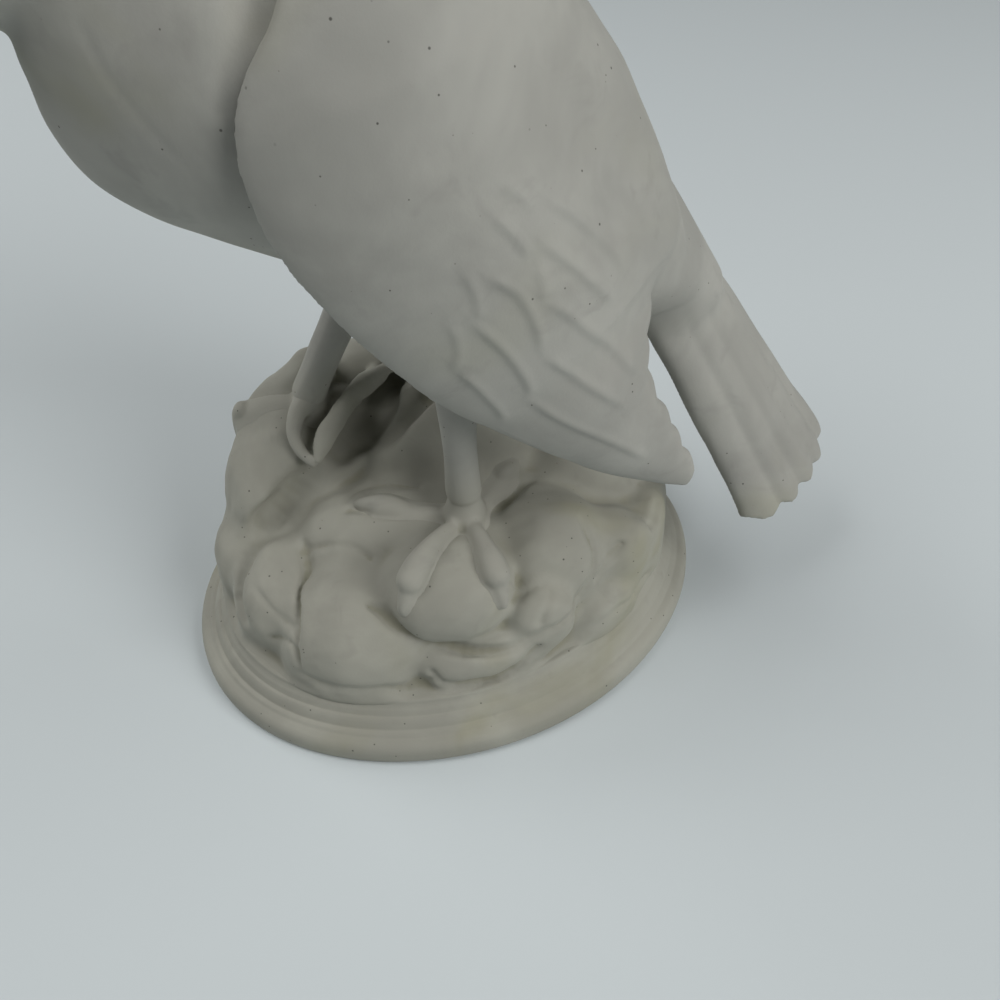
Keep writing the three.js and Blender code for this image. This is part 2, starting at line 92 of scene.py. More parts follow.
# Curves and rings

LEAST_KNOT = 1e-4


def spline(points, steps):
    """Points along a centripetal Catmull-Rom curve, evenly by knot, as the CAD draws them."""
    p = np.asarray(points, float)
    if p.ndim == 1:
        p = p[:, None]
    p = np.vstack([2 * p[0] - p[1], p, 2 * p[-1] - p[-2]])
    t = np.linspace(0, len(p) - 3, steps + 1)
    i = np.minimum(t.astype(int), len(p) - 4)
    w = (t - i)[:, None]
    x0, x1, x2, x3 = p[i], p[i + 1], p[i + 2], p[i + 3]
    pairs = ((x0, x1), (x1, x2), (x2, x3))
    d0, d1, d2 = (np.sqrt(np.linalg.norm(b - a, axis=1))[:, None] for a, b in pairs)
    d1 = np.where(d1 < LEAST_KNOT, 1.0, d1)
    d0 = np.where(d0 < LEAST_KNOT, d1, d0)
    d2 = np.where(d2 < LEAST_KNOT, d1, d2)
    t1 = ((x1 - x0) / d0 - (x2 - x0) / (d0 + d1) + (x2 - x1) / d1) * d1
    t2 = ((x2 - x1) / d1 - (x3 - x1) / (d1 + d2) + (x3 - x2) / d2) * d1
    c2 = -3 * x1 + 3 * x2 - 2 * t1 - t2
    c3 = 2 * x1 - 2 * x2 + t1 + t2
    return x1 + t1 * w + c2 * w ** 2 + c3 * w ** 3


def unit(v):
    return v / np.maximum(np.linalg.norm(v, axis=-1, keepdims=True), 1e-9)


def smoothstep(x, low, high):
    t = np.clip((x - low) / (high - low), 0, 1)
    return t * t * (3 - 2 * t)


def rim_of(across, power, least):
    """Share of the thickness over a section from -1 to 1, rounded off towards both edges."""
    return np.sqrt(np.clip(1 - np.abs(across) ** power, 0, 1)) * (1 - least) + least


BODY_SECTIONS = [  # back x, z; belly x, z; half width as a share
    (74.5, 101, 62, 97, 0.09), (68.5, 112.5, 50, 99, 0.19), (60, 127, 36, 101, 0.31),
    (51.5, 141, 18, 108, 0.4), (44, 155, 0, 116, 0.46), (35, 170, -18, 124.5, 0.5),
    (26, 182, -36, 133, 0.51), (16, 193, -52, 141, 0.49), (4, 201, -61.5, 149.5, 0.46),
    (-10, 206, -66, 160.5, 0.41), (-24, 210, -67, 171, 0.36), (-38, 215, -67.5, 178, 0.31),
]
HEAD_SECTIONS = [
    (-49, 221.5, -76, 180.5, 0.52), (-61, 226, -84, 183, 0.51), (-73, 227.5, -91, 187, 0.48),
    (-84, 225, -96, 191, 0.42), (-92, 219, -99.5, 194.5, 0.33), (-98, 213, -102, 197, 0.24),
    (-105, 209.5, -104, 197.5, 0.17), (-110.5, 203, -106, 196.5, 0.11),
    (-112, 196, -108.5, 193.5, 0.06), (-111, 190.5, -110, 190, 0.015),
]
LEAST_HALF = 0.4
BACK_FULLNESS = 0.06  # by how much a section is wider towards the back

WING_STATIONS = [  # leading point, trailing point, bulge
    (-11, -27, 196, 0, -17, 202, 1), (-22, -35, 184, 16, -15, 194, 7),
    (-29.5, -38, 169, 29, -11, 182, 12), (-28.5, -39, 151, 40, -8, 167.5, 15),
    (-20.5, -40, 134, 48, -7, 152.5, 16), (-8.5, -40, 116, 54, -7, 138, 16),
    (4.5, -39, 101, 56.5, -13, 124.5, 13), (20, -38, 88, 50.5, -26, 114, 8),
    (36, -37, 76.5, 50, -33, 101, 4), (50, -36.5, 69.5, 56, -35, 86, 1.5),
    (60, -36.5, 66, 62.5, -35.5, 72, 0.5),
]
WING_SCALLOP_START = 0.62  # share of the way from shoulder to tip
WING_SCALLOP_FADE = (0.6, 0.68)
WING_SCALLOP_LIMIT = 0.25  # share of the chord
WING_CHORD_THICKNESS = 0.16
WING_RIM = (14, 0.1)

TAIL_WIDENING = 1.4
TAIL_END_ROUND = 4
TAIL_END_SHARPNESS = 8
TAIL_THINNING = 0.35
TAIL_RIM = (30, 0.3)


def section_rings(steps, sides):
    """Rings of the body and head in one skin, from the rump to the tip of the beak."""
    rows = [(*row[:4], row[4] * BODY_WIDTH) for row in BODY_SECTIONS]
    rows += [(*row[:4], row[4] * HEAD_WIDTH) for row in HEAD_SECTIONS]
    s = np.array(rows, float)
    back = spline(np.stack([s[:, 0], 0 * s[:, 0], s[:, 1]], 1), steps)
    belly = spline(np.stack([s[:, 2], 0 * s[:, 0], s[:, 3]], 1), steps)
    wide = np.maximum(spline(s[:, 4], steps), LEAST_HALF)
    up = back - belly
    half = np.maximum(np.linalg.norm(up, axis=1, keepdims=True) / 2, LEAST_HALF)
    up = unit(up)
    angle = 2 * np.pi * np.arange(sides) / sides
    rings = ((back + belly) / 2)[:, None, :] + up[:, None, :] * (half * np.cos(angle))[:, :, None]
    rings[:, :, 1] += wide * (1 + BACK_FULLNESS * np.cos(angle)) * np.sin(angle)
    return rings


def scalloped(lead, trail, steps):
    """The wing's trailing edge with the rounded ends of its flight feathers."""
    along = np.linspace(0, 1, steps + 1)[:, None]
    chord = trail - lead
    length = np.linalg.norm(chord, axis=1, keepdims=True)
    turn = np.pi * WING_SCALLOP_COUNT * (along - WING_SCALLOP_START) / (1 - WING_SCALLOP_START)
    short = WING_SCALLOP * smoothstep(along, *WING_SCALLOP_FADE) * (1 - np.abs(np.sin(turn)))
    return trail - chord / length * np.minimum(short, length * WING_SCALLOP_LIMIT)


def wing_rings(steps=260, across=60):
    """Rings of the left wing from shoulder to tip, out over the outer face and back on the inner."""
    s = np.array(WING_STATIONS, float)
    lead, trail = spline(s[:, :3], steps), spline(s[:, 3:6], steps)
    bulge = spline(s[:, 6], steps)
    middle = lead + trail
    chord = scalloped(lead, trail, steps) - lead
    ahead = np.vstack([middle[1:], middle[-1:]]) - np.vstack([middle[:1], middle[:-1]])
    out = unit(np.cross(ahead, chord))
    out *= np.where(out[:, 1:2] > 0, -1, 1)
    thick = WING_EDGE_THICKNESS + np.linalg.norm(chord, axis=1, keepdims=True) * WING_CHORD_THICKNESS
    thick = np.minimum(WING_THICKNESS, thick)
    share = np.linspace(0, 1, across + 1)
    dome = 4 * share * (1 - share)
    edge = WING_EDGE_THICKNESS + (thick - WING_EDGE_THICKNESS) * np.sqrt(dome)
    edge = edge * rim_of(2 * share - 1, *WING_RIM)
    base = lead[:, None, :] + chord[:, None, :] * share[None, :, None]
    reach = bulge * dome + WING_EDGE_THICKNESS / 2 + (edge - WING_EDGE_THICKNESS) / 2
    outer = base + out[:, None, :] * reach[:, :, None]
    inner = base + out[:, None, :] * (reach - edge)[:, :, None]
    return np.concatenate([outer, inner[:, ::-1]], axis=1)


def tail_frame():
    """Directions along the tail, across it and out of its upper face."""
    level = math.cos(TAIL_SLOPE)
    along = np.array([level * math.cos(TAIL_SWING), -level * math.sin(TAIL_SWING), -math.sin(TAIL_SLOPE)])
    flat = np.array([math.sin(TAIL_SWING), math.cos(TAIL_SWING), 0])
    above = unit(np.cross(along, flat))
    above = above * (-1 if above[2] < 0 else 1)
    wide = flat * math.cos(TAIL_TWIST) + above * math.sin(TAIL_TWIST)
    over = above * math.cos(TAIL_TWIST) - flat * math.sin(TAIL_TWIST)
    return along, wide, over


def tail_rings(steps=120, lanes=TAIL_FEATHERS * 24):
    """Rings of the fanned tail, out over its upper face and back on the lower."""
    along, wide, over = tail_frame()
    share = np.linspace(0, 1, steps + 1)[:, None]
    side = np.linspace(-1, 1, lanes + 1)[None, :]
    half = (TAIL_ROOT_WIDTH + (TAIL_END_WIDTH - TAIL_ROOT_WIDTH) * share ** TAIL_WIDENING) / 2
    feather = np.abs(np.sin(np.pi * TAIL_FEATHERS * (side + 1) / 2))
    shorter = TAIL_SCALLOP * (1 - feather) + TAIL_END_ROUND * side ** 2
    reach = TAIL_LENGTH - shorter * share ** TAIL_END_SHARPNESS
    drop = TAIL_ARCH * side ** 2 - TAIL_FLUTE * feather * share
    edge = np.sqrt(np.maximum(1 - side ** 4, 0)) * (1 - TAIL_THINNING * share)
    thick = TAIL_EDGE_THICKNESS + (TAIL_THICKNESS - TAIL_EDGE_THICKNESS) * edge
    rim = rim_of(side, *TAIL_RIM)
    far = TAIL_ROOT_DEPTH + (reach - TAIL_ROOT_DEPTH) * share
    base = TAIL_ROOT + along * far[:, :, None] + wide * (half * side)[:, :, None] - over * drop[:, :, None]
    upper = base - over * (thick * (1 - rim) / 2)[:, :, None]
    lower = base - over * (thick * (1 + rim) / 2)[:, :, None]
    return np.concatenate([upper, lower[:, ::-1]], axis=1)


# Distance fields

SURFACE_BAND = 4.0
LINE_SOFTNESS = 0.5


class Space:
    """A box of evenly spaced points, in which a form is its distance outside its surface."""

    def __init__(self, low, high, pitch):
        self.pitch = pitch
        self.low = np.array(low, float)
        self.count = np.ceil((np.array(high, float) - self.low) / pitch).astype(int) + 1
        axes = [(self.low[i] + pitch * np.arange(self.count[i])).astype(np.float32) for i in range(3)]
        self.x, self.y, self.z = np.meshgrid(*axes, indexing="ij", sparse=True)

    def window(self, low, high):
        """The part of the box between two corners as a space of its own, and its place in the whole."""
        first = np.maximum(np.floor((np.array(low) - self.low) / self.pitch).astype(int), 0)
        last = np.minimum(np.ceil((np.array(high) - self.low) / self.pitch).astype(int) + 1, self.count)
        last = np.maximum(last, first)
        part = copy.copy(self)
        part.low = self.low + first * self.pitch
        part.count = last - first
        part.x = self.x[first[0]:last[0]]
        part.y = self.y[:, first[1]:last[1]]
        part.z = self.z[:, :, first[2]:last[2]]
        return part, tuple(slice(a, b) for a, b in zip(first, last))

    def around(self, points, reach):
        points = np.asarray(points, float)
        return self.window(points.min(0) - reach, points.max(0) + reach)

    def loft(self, rings, band):
        """The field of a closed form through rings of points, right within band of its surface."""
        n, m = rings.shape[:2]
        first, last = rings[0].mean(0), rings[-1].mean(0)
        points = np.vstack([rings.reshape(-1, 3), first, last])
        i, j = np.meshgrid(np.arange(n - 1), np.arange(m), indexing="ij")
        k = (j + 1) % m
        quads = np.stack([i * m + j, i * m + k, (i + 1) * m + k, (i + 1) * m + j], -1).reshape(-1, 4)
        j = np.arange(m)
        k = (j + 1) % m
        caps = np.vstack([
            np.stack([np.full(m, n * m), k, j], 1),
            np.stack([np.full(m, n * m + 1), (n - 1) * m + j, (n - 1) * m + k], 1),
        ])
        cells = ((points - self.low) / self.pitch).astype(np.float32)
        grid = openvdb.FloatGrid.createLevelSetFromPolygons(
            cells, triangles=caps.astype(np.uint32), quads=quads.astype(np.uint32),
            halfWidth=band / self.pitch)
        field = np.empty(tuple(self.count), np.float32)
        grid.copyToArray(field)
        return field * np.float32(self.pitch)

    def ellipsoid(self, center, radii, turn=0.0, power=2.0):
        x, y, z = self.x - center[0], self.y - center[1], self.z - center[2]
        c, s = math.cos(math.radians(turn)), math.sin(math.radians(turn))
        x, y = x * c + y * s, y * c - x * s
        u, v, w = np.abs(x) / radii[0], np.abs(y) / radii[1], np.abs(z) / radii[2]
        q = power - 1
        size = (u ** power + v ** power + w ** power + np.float32(1e-9)) ** (1 / power)
        steep = np.sqrt((u ** q / radii[0]) ** 2 + (v ** q / radii[1]) ** 2 + (w ** q / radii[2]) ** 2)
        steep = steep / size ** q + np.float32(1e-6)
        return ((size - 1) / steep).astype(np.float32)

    def limb(self, points, radii, soft):
        """A chain of round tapered stretches."""
        whole = None
        for a, b, ra, rb in zip(points[:-1], points[1:], radii[:-1], radii[1:]):
            part = self.stretch(np.array(a, float), np.array(b, float), ra, rb)
            whole = part if whole is None else join(whole, part, soft)
        return whole

    def curved_limb(self, points, diameters, steps, soft):
        return self.limb(spline(points, steps), spline(diameters, steps)[:, 0] / 2, soft)

    def stretch(self, a, b, ra, rb):
        d = b - a
        x, y, z = self.x - a[0], self.y - a[1], self.z - a[2]
        t = np.clip((x * d[0] + y * d[1] + z * d[2]) / (d @ d), 0, 1).astype(np.float32)
        gap = np.sqrt((x - t * d[0]) ** 2 + (y - t * d[1]) ** 2 + (z - t * d[2]) ** 2)
        return (gap - (ra + (rb - ra) * t)).astype(np.float32)

    def oval(self, inset, lean=0.0, foot=0.0):
        """Outside distance of an upright oval cylinder in line with the plinth, leaning in above its foot."""
        c, s = math.cos(PLINTH_TURN), math.sin(PLINTH_TURN)
        x, y = self.x * c + self.y * s, self.y * c - self.x * s
        a, b = PLINTH_LENGTH / 2 - inset, PLINTH_WIDTH / 2 - inset
        size = np.sqrt((x / a) ** 2 + (y / b) ** 2) + np.float32(1e-6)
        steep = np.sqrt((x / a ** 2) ** 2 + (y / b ** 2) ** 2) / size + np.float32(1e-6)
        return (size - 1) / steep + lean * np.maximum(self.z - foot, 0)

    def surface(self, field):
        """The points and faces where the field is zero."""
        grid = openvdb.FloatGrid(SURFACE_BAND)
        grid.copyFromArray(np.ascontiguousarray(np.clip(field, -SURFACE_BAND, SURFACE_BAND)))
        points, quads = grid.convertToQuads(0.0)
        points = points.astype(float) * self.pitch + self.low
        return points, outward(points, quads.astype(int))


def join(a, b, soft):
    """Two forms as one, with a soft fillet where they meet."""
    h = np.clip(0.5 + 0.5 * (b - a) / soft, 0, 1)
    return b + (a - b) * h - soft * h * (1 - h)


def cut(a, b, soft):
    """The first form without the second, with a soft edge."""
    return -join(-a, b, soft)


def carve(space, field, line, radii, soft, steps=None, mix=cut):
    """Cuts a soft groove along a line into a form, in place, or lays on a ridge where mix is join."""
    if steps:
        line, radii = spline(line, steps), spline(radii, steps)[:, 0]
    near, place = space.around(line, max(radii) + 3 * soft)
    if near.count.min() > 1:
        field[place] = mix(field[place], near.limb(line, radii, LINE_SOFTNESS), soft)


def outward(points, quads):
    a, b, c, d = (points[quads[:, i]] for i in range(4))
    volume = np.einsum("ij,ij->i", a, np.cross(b, c)).sum() + np.einsum("ij,ij->i", a, np.cross(c, d)).sum()
    return quads if volume > 0 else quads[:, ::-1]


# Meshes

def mesh_of(points, faces, name):
    mesh = bpy.data.meshes.new(name)
    mesh.from_pydata((points * METRES + MIDDLE).tolist(), [], faces.tolist())
    mesh.update()
    return mesh


def normals_of(points, quads):
    a, b, c, d = (points[quads[:, i]] for i in range(4))
    face = np.cross(c - a, d - b)
    total = np.zeros_like(points)
    for i in range(4):
        for axis in range(3):
            total[:, axis] += np.bincount(quads[:, i], face[:, axis], len(points))
    return unit(total)


def relax(points, quads, rounds, weight=0.5):
    """Evens out the points a little, as a wet sponge does the clay."""
    pairs = np.vstack([quads[:, [0, 1]], quads[:, [1, 2]], quads[:, [2, 3]], quads[:, [3, 0]]])
    size = len(points)
    count = np.bincount(pairs[:, 0], minlength=size) + np.bincount(pairs[:, 1], minlength=size)
    for _ in range(rounds):
        total = np.zeros_like(points)
        for axis in range(3):
            total[:, axis] = (np.bincount(pairs[:, 0], points[pairs[:, 1], axis], size)
                              + np.bincount(pairs[:, 1], points[pairs[:, 0], axis], size))
        points = points + (total / count[:, None] - points) * weight
    return points


WAVES = 9


def waviness(p, size, seed):
    """Slow, smooth unevenness between about -1 and 1 at each point."""
    rng = np.random.default_rng(seed)
    total = np.zeros(len(p))
    for _ in range(WAVES):
        wave = unit(rng.normal(size=3)) * (2 * np.pi / size) * rng.uniform(0.6, 1.6)
        total += np.sin(p @ wave + rng.uniform(0, 2 * np.pi))
    return total / 4


def ripple(space, size, seed):
    """The same unevenness in a whole space."""
    rng = np.random.default_rng(seed)
    total = 0
    for _ in range(WAVES):
        wave = unit(rng.normal(size=3)) * (2 * np.pi / size) * rng.uniform(0.6, 1.6)
        turn = np.exp(1j * rng.uniform(0, 2 * np.pi)).astype(np.complex64)
        axes = (space.x, space.y, space.z)
        lines = [np.exp(1j * k * axis).astype(np.complex64) for k, axis in zip(wave, axes)]
        total = total + (lines[0] * turn * lines[1] * lines[2]).imag
    return total / 4


def add_piece(points, faces, name, replaced, material):
    """Makes a visible piece, which rides the one rigid body and stands in for nodes of the CAD."""
    mesh = mesh_of(points, faces, name)
    piece = bpy.data.objects.new(name, mesh)
    bpy.context.scene.collection.objects.link(piece)
    mesh.materials.append(material)
    for polygon in mesh.polygons:
        polygon.use_smooth = True
    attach(piece, "root")
    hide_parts(*replaced)
    return piece


# Materials

BIRD_CLAY = (0.365, 0.36, 0.325)
BIRD_STAIN = (0.315, 0.31, 0.24)
BIRD_DUST = (0.35, 0.344, 0.297)
BASE_CLAY = (0.345, 0.34, 0.29)
BASE_STAIN = (0.275, 0.265, 0.175)
SPECK_TONE = (0.04, 0.036, 0.03)
SMUDGE_AND_SHADE = 0.72  # what the smudges and the painted shade in the hollows leave of a colour's light
MOTTLE = (28, 4, 0.6, 0.4)  # noise: scale, detail, roughness, distortion
PATCHES = (17, 3, 0.5, 0.8)
SMUDGES = (75, 3, 0.65, 0.6)
POLISH = (90, 3)
GRAIN = (1400, 2, 0.6)
UNDULATION = (210, 3, 0.5)
BIG_DOTS, SMALL_DOTS = (330, 0.12), (560, 0.16)  # cells per metre, edge of a dot in its cell
SPECULAR = 0.35
BUMP_STRENGTH, BUMP_DEPTH = 0.16, 0.0006


class Painter:
    """The nodes of one material, with short ways to add them."""

    def __init__(self, name):
        self.material = bpy.data.materials.new(name)
        self.material.use_nodes = True
        self.nodes, self.links = self.material.node_tree.nodes, self.material.node_tree.links
        self.nodes.clear()
        self.place = self.nodes.new("ShaderNodeTexCoord").outputs["Object"]

    def fill(self, socket, value):
        """Links a socket to another node's, or sets it to a number or colour."""
        if isinstance(value, bpy.types.NodeSocket):
            self.links.new(value, socket)
        else:
            socket.default_value = (*value, 1) if isinstance(value, tuple) else value

    def noise(self, scale, detail, roughness=0.55, distortion=0.0):
        node = self.nodes.new("ShaderNodeTexNoise")
        names = ("Vector", "Scale", "Detail", "Roughness", "Distortion")
        for name, value in zip(names, (self.place, scale, detail, roughness, distortion)):
            self.fill(node.inputs[name], value)
        return node.outputs["Fac"]

    def ramp(self, value, low, high, low_value=0.0, high_value=1.0):
        node = self.nodes.new("ShaderNodeMapRange")
        node.interpolation_type = "SMOOTHSTEP"
        names = ("Value", "From Min", "From Max", "To Min", "To Max")
        for name, content in zip(names, (value, low, high, low_value, high_value)):
            self.fill(node.inputs[name], content)
        return node.outputs["Result"]

    def calc(self, operation, a, b):
        node = self.nodes.new("ShaderNodeMath")
        node.operation = operation
        self.fill(node.inputs[0], a)
        self.fill(node.inputs[1], b)
        return node.outputs[0]

    def tint(self, base, over, amount):
        node = self.nodes.new("ShaderNodeMix")
        node.data_type = "RGBA"
        for index, value in ((0, amount), (6, base), (7, over)):
            self.fill(node.inputs[index], value)
        return node.outputs[2]

    def attribute(self, name):
        node = self.nodes.new("ShaderNodeAttribute")
        node.attribute_name = name
        return node.outputs["Fac"]

    def dots(self, scale, edge, share):
        """A round spot in a share of the cells of a pattern."""
        cells = self.nodes.new("ShaderNodeTexVoronoi")
        self.fill(cells.inputs["Scale"], scale)
        self.fill(cells.inputs["Vector"], self.place)
        near = self.ramp(cells.outputs["Distance"], edge * 0.45, edge, 1.0, 0.0)
        chosen = self.nodes.new("ShaderNodeSeparateColor")
        self.fill(chosen.inputs["Color"], cells.outputs["Color"])
        few = self.ramp(chosen.outputs["Red"], 1 - share, 1 - share + 0.02)
        return self.calc("MULTIPLY", near, few)


def shade(colour, share):
    return tuple(c * share for c in colour)


def clay_tone(p, clay, stain, stain_amount, dust):
    """The clay's colour with slow changes of tone, stains and dust, and painted shade darkening the hollows.
    """
    tone = p.tint(shade(clay, 0.88), shade(clay, 1.06), p.ramp(p.noise(*MOTTLE), 0.35, 0.68))
    tone = p.tint(tone, stain, p.ramp(p.noise(*PATCHES), 0.52, 0.74, 0.0, stain_amount))
    if dust:
        tone = p.tint(tone, dust, p.attribute("dusty"))
    # painted shade: the hollows darken towards a dimmed stain colour
    hollow_shade = p.ramp(p.attribute("hollow"), 0.1, 1.0, 0.0, 0.6)
    return p.tint(tone, shade(stain, SMUDGE_AND_SHADE), hollow_shade)


def bisque(name, clay, stain, stain_amount, speck_amount, dust=None):
    """Unglazed porcelain: matt, slightly uneven in tone, with fine grain, pinholes and a few specks."""
    p = Painter(name)
    specks = p.calc("MAXIMUM", p.dots(*BIG_DOTS, speck_amount), p.dots(*SMALL_DOTS, speck_amount * 0.9))
    tone = clay_tone(p, clay, stain, stain_amount, dust)
    tone = p.tint(tone, SPECK_TONE, p.calc("MULTIPLY", specks, 0.8))
    tone = p.tint(tone, shade(clay, SMUDGE_AND_SHADE), p.ramp(p.noise(*SMUDGES), 0.56, 0.74, 0.0, 0.35))

    grain = p.calc("MULTIPLY", p.noise(*GRAIN), 0.35)
    height = p.calc("ADD", grain, p.calc("MULTIPLY", p.noise(*UNDULATION), 0.65))
    height = p.calc("SUBTRACT", height, p.calc("MULTIPLY", specks, 1.5))
    bump = p.nodes.new("ShaderNodeBump")
    p.fill(bump.inputs["Strength"], BUMP_STRENGTH)
    p.fill(bump.inputs["Distance"], BUMP_DEPTH)
    p.fill(bump.inputs["Height"], height)

    shader = p.nodes.new("ShaderNodeBsdfPrincipled")
    p.fill(shader.inputs["Specular IOR Level"], SPECULAR)
    p.fill(shader.inputs["Base Color"], tone)
    p.fill(shader.inputs["Roughness"], p.ramp(p.noise(*POLISH), 0.3, 0.7, 0.7, 0.86))
    p.fill(shader.inputs["Normal"], bump.outputs["Normal"])
    out = p.nodes.new("ShaderNodeOutputMaterial")
    p.fill(out.inputs["Surface"], shader.outputs["BSDF"])
    return p.material


BIRD_BISQUE = bisque("bird_bisque_clay", BIRD_CLAY, BIRD_STAIN, 0.6, 0.07, BIRD_DUST)
BASE_BISQUE = bisque("base_bisque_clay", BASE_CLAY, BASE_STAIN, 0.7, 0.09)
# how deep a hollow is for its full painted shade, and how wide a hollow is measured
HOLLOW_DEPTH = 0.9
HOLLOW_REACH = 2.5


def store(piece, name, value):
    """Keeps a number for each point, for the material to read."""
    layer = piece.data.attributes.new(name, "FLOAT", "POINT")
    layer.data.foreach_set("value", value.astype(np.float32))


def mark_shaded_hollows(piece, points, quads, reach=HOLLOW_REACH):
    """Stores how far each point lies in a hollow, where the material paints shade."""
    pitch = np.linalg.norm(points[quads[:, 0]] - points[quads[:, 1]], axis=1).mean()
    rounds = int(round(1.6 * (reach / pitch) ** 2))
    smooth = relax(points, quads, rounds, 0.6)
    depth = ((smooth - points) * normals_of(points, quads)).sum(1)
    store(piece, "hollow", smoothstep(depth, 0.0, HOLLOW_DEPTH))


# Rock mound

BOULDERS = [  # middle, radii, turn, softness of the seam
    ((7, -2, 14), (56, 44, 34), 12, 5), ((8, 17, 38), (32, 24, 28), 0, 6),
    ((-38, 25, 34), (22, 25, 32), 0, 6), ((-16, 37, 43), (21, 14, 26), 0, 6),
    ((-16, 20, 50), (26, 5, 20), 42, 3), ((-50, 12, 28), (13, 19, 28), 0, 6),
    ((-59, 2, 20), (11, 13, 17), 0, 5), ((-48, -15, 22), (15, 18, 18), 0, 4),
    ((-27, -31, 20), (23, 21, 21), 0, 5), ((-20, -10, 33), (22, 15, 15), 0, 6),
    ((-2, -33, 37), (18, 17, 13), 0, 3), ((4, -43, 21), (20, 11, 10), 4, 2.5),
    ((21, -41, 28), (10, 9, 11), 0, 3), ((28, -23, 32), (17, 17, 18), 0, 4),
    ((46, -22, 26), (13, 12, 16), 0, 4), ((59, -12, 23), (10, 14, 15), 0, 4),
    ((40, -35, 17), (14, 9, 10), 0, 4), ((60, 6, 22), (12, 16, 18), 0, 4),
    ((43, 8, 33), (21, 21, 23), 0, 4), ((-30, 38, 21), (19, 13, 20), 0, 4),
    ((26, 40, 23), (19, 14, 20), 0, 4), ((48, 28, 21), (15, 15, 17), 0, 4),
    ((-55, 26, 19), (10, 14, 14), 0, 4),
]
BOULDER_POWER = 2.1
SKIRT = 1.5
SKIRT_SOFTNESS = 4
EDGE_LEAN = 0.1
EDGE_UPRIGHT = 14  # above the plinth, where the rock's rim starts to lean in
EDGE_SOFTNESS = 4.0

PEAK = [(-31, 28, 69), (-40, 27, 62), (-49, 25, 55)]
VALLEY = [(-2, 15, 64), (-13, 10, 61), (-22, 5, 57), (-31, 0, 52), (-41, -1, 47), (-51, -4, 43),
          (-58, -13, 37), (-63, -23, 28)]
GULLY = [(-33, 3.5, 54.5), (-38.5, 2, 48.5), (-44, -0.5, 44.5), (-49.5, -3.5, 41.5), (-54, -6.5, 38.5),
         (-57.5, -11, 34.5), (-60, -17, 30.5), (-60, -25.3, 27)]
CAVITY = [(-7, 30, 59), (-12, 25, 59), (-17, 19.5, 58), (-21.5, 13.5, 56), (-26, 8.5, 54), (-30, 4, 52.5)]
RIDGE = [(-12, 31, 63), (-17, 20.5, 67.5), (-22.7, 13.2, 66), (-28, 7.5, 61.8), (-32.5, 2.5, 57)]
HOLE = [(-27.5, 17, 65), (-30, 12.5, 63), (-32, 8.5, 60.5), (-33.5, 4.5, 57.5)]
CRAG_LINES = [  # line, radii, softness, steps of its curve, cut or joined
    (PEAK, [6, 5.5, 5], 4, None, join),
    (VALLEY, [5, 7, 6.5, 4.5, 3.6, 3, 2.4, 1.6], 2.5, None, cut),
    (GULLY, [3, 4, 4.4, 4, 3.4, 2.8, 2.2, 1.5], 3, 18, cut),
    (CAVITY, [6, 7, 7.5, 7, 5, 2.5], 2, None, cut),
    (RIDGE, [2.0, 1.7, 1.6, 1.5, 1.2], 1.5, 16, join),
    (HOLE, [2.6, 3.0, 2.4, 1.2], 1.2, None, cut),
]
CREASES = [  # soft grooves between the cushions of the rock, and their radius
    ([(-40, -13, 40), (-40, -21, 37), (-42, -26, 36), (-43, -33, 34), (-44, -39, 31),
      (-45, -43, 24)], 0.7),
    ([(-46, -43, 22), (-41, -47, 21), (-33, -51, 21), (-24, -52, 20), (-17, -51, 18), (-11, -51, 20)], 0.9),
    ([(-41, -15, 39), (-36, -16, 41), (-30, -19, 44), (-26, -21, 44), (-22, -24, 42)], -0.2),
    ([(-24, -38, 39), (-21, -40, 38), (-17, -44, 35), (-10, -46, 31), (-1, -49, 28),
      (6, -50, 27), (12, -50, 27), (19, -49, 29)], 1.2),
    ([(-10, -51, 23), (-8, -53, 20), (-1, -53, 18), (6, -52, 17), (14, -51, 20), (19, -49, 24)], 0.9),
    ([(8, -46, 38), (14, -43, 38), (18, -41, 38), (22, -40, 39), (24, -42, 38),
      (22, -46, 36), (20, -48, 33)], -0.7),
    ([(36, -27, 48), (38, -33, 41), (37, -37, 36), (33, -40, 31), (28, -46, 31), (21, -49, 30)], 0.5),
    ([(62, -15, 36), (59, -21, 35), (46, -30, 38), (39, -36, 33)], 0.1),
    ([(57, -26, 18), (50, -34, 21), (42, -41, 22), (34, -44, 19)], -0.2),
    ([(-26, -9, 47), (-18, -13, 48), (-12, -14, 47), (-4, -13, 47)], 0.6),
    ([(-27, -5, 47), (-23, -1, 46), (-18, -1, 47), (-11, -4, 48), (-6, -6, 48)], -0.3),
    ([(-54, -24, 37), (-51, -28, 34), (-48, -32, 32), (-45, -35, 32)], -0.1),
    ([(-52, -32, 25), (-46, -38, 29), (-45, -41, 28)], 0.1),
    ([(12, -17, 47), (16, -15, 46), (22, -11, 47), (27, -8, 48)], 1.8),
    ([(44, -21, 45), (51, -17, 43), (58, -9, 39)], 0.5),
    ([(-62, 14, 38), (-60, 24, 30), (-63, 30, 20)], 1.0),
    ([(-34, 44, 40), (-42, 40, 38), (-50, 34, 36), (-56, 30, 26)], 0.8),
    ([(-12, 52, 30), (-2, 50, 36), (8, 46, 40), (14, 38, 46)], 0.9),
    ([(38, 38, 34), (36, 44, 26), (38, 48, 18)], 0.9),
    ([(60, 22, 34), (52, 24, 38), (44, 26, 40), (36, 30, 42)], 0.8),
]
CREASE_SOFTNESS = 2.4
CREASE_LEAST = 0.3  # share of a crease's radius that doesn't swell along it
CREASE_SPAN = (0.06, 0.94)

ROCK_BOX = ((-76, -64, 10), (76, 64, 84))
ROCK_PITCH = 0.7
ROCK_HOLLOW = ((6, 2, PLINTH_HEIGHT - 6), (50, 38, 30), 12)
ROCK_FOOT = PLINTH_HEIGHT - 0.2


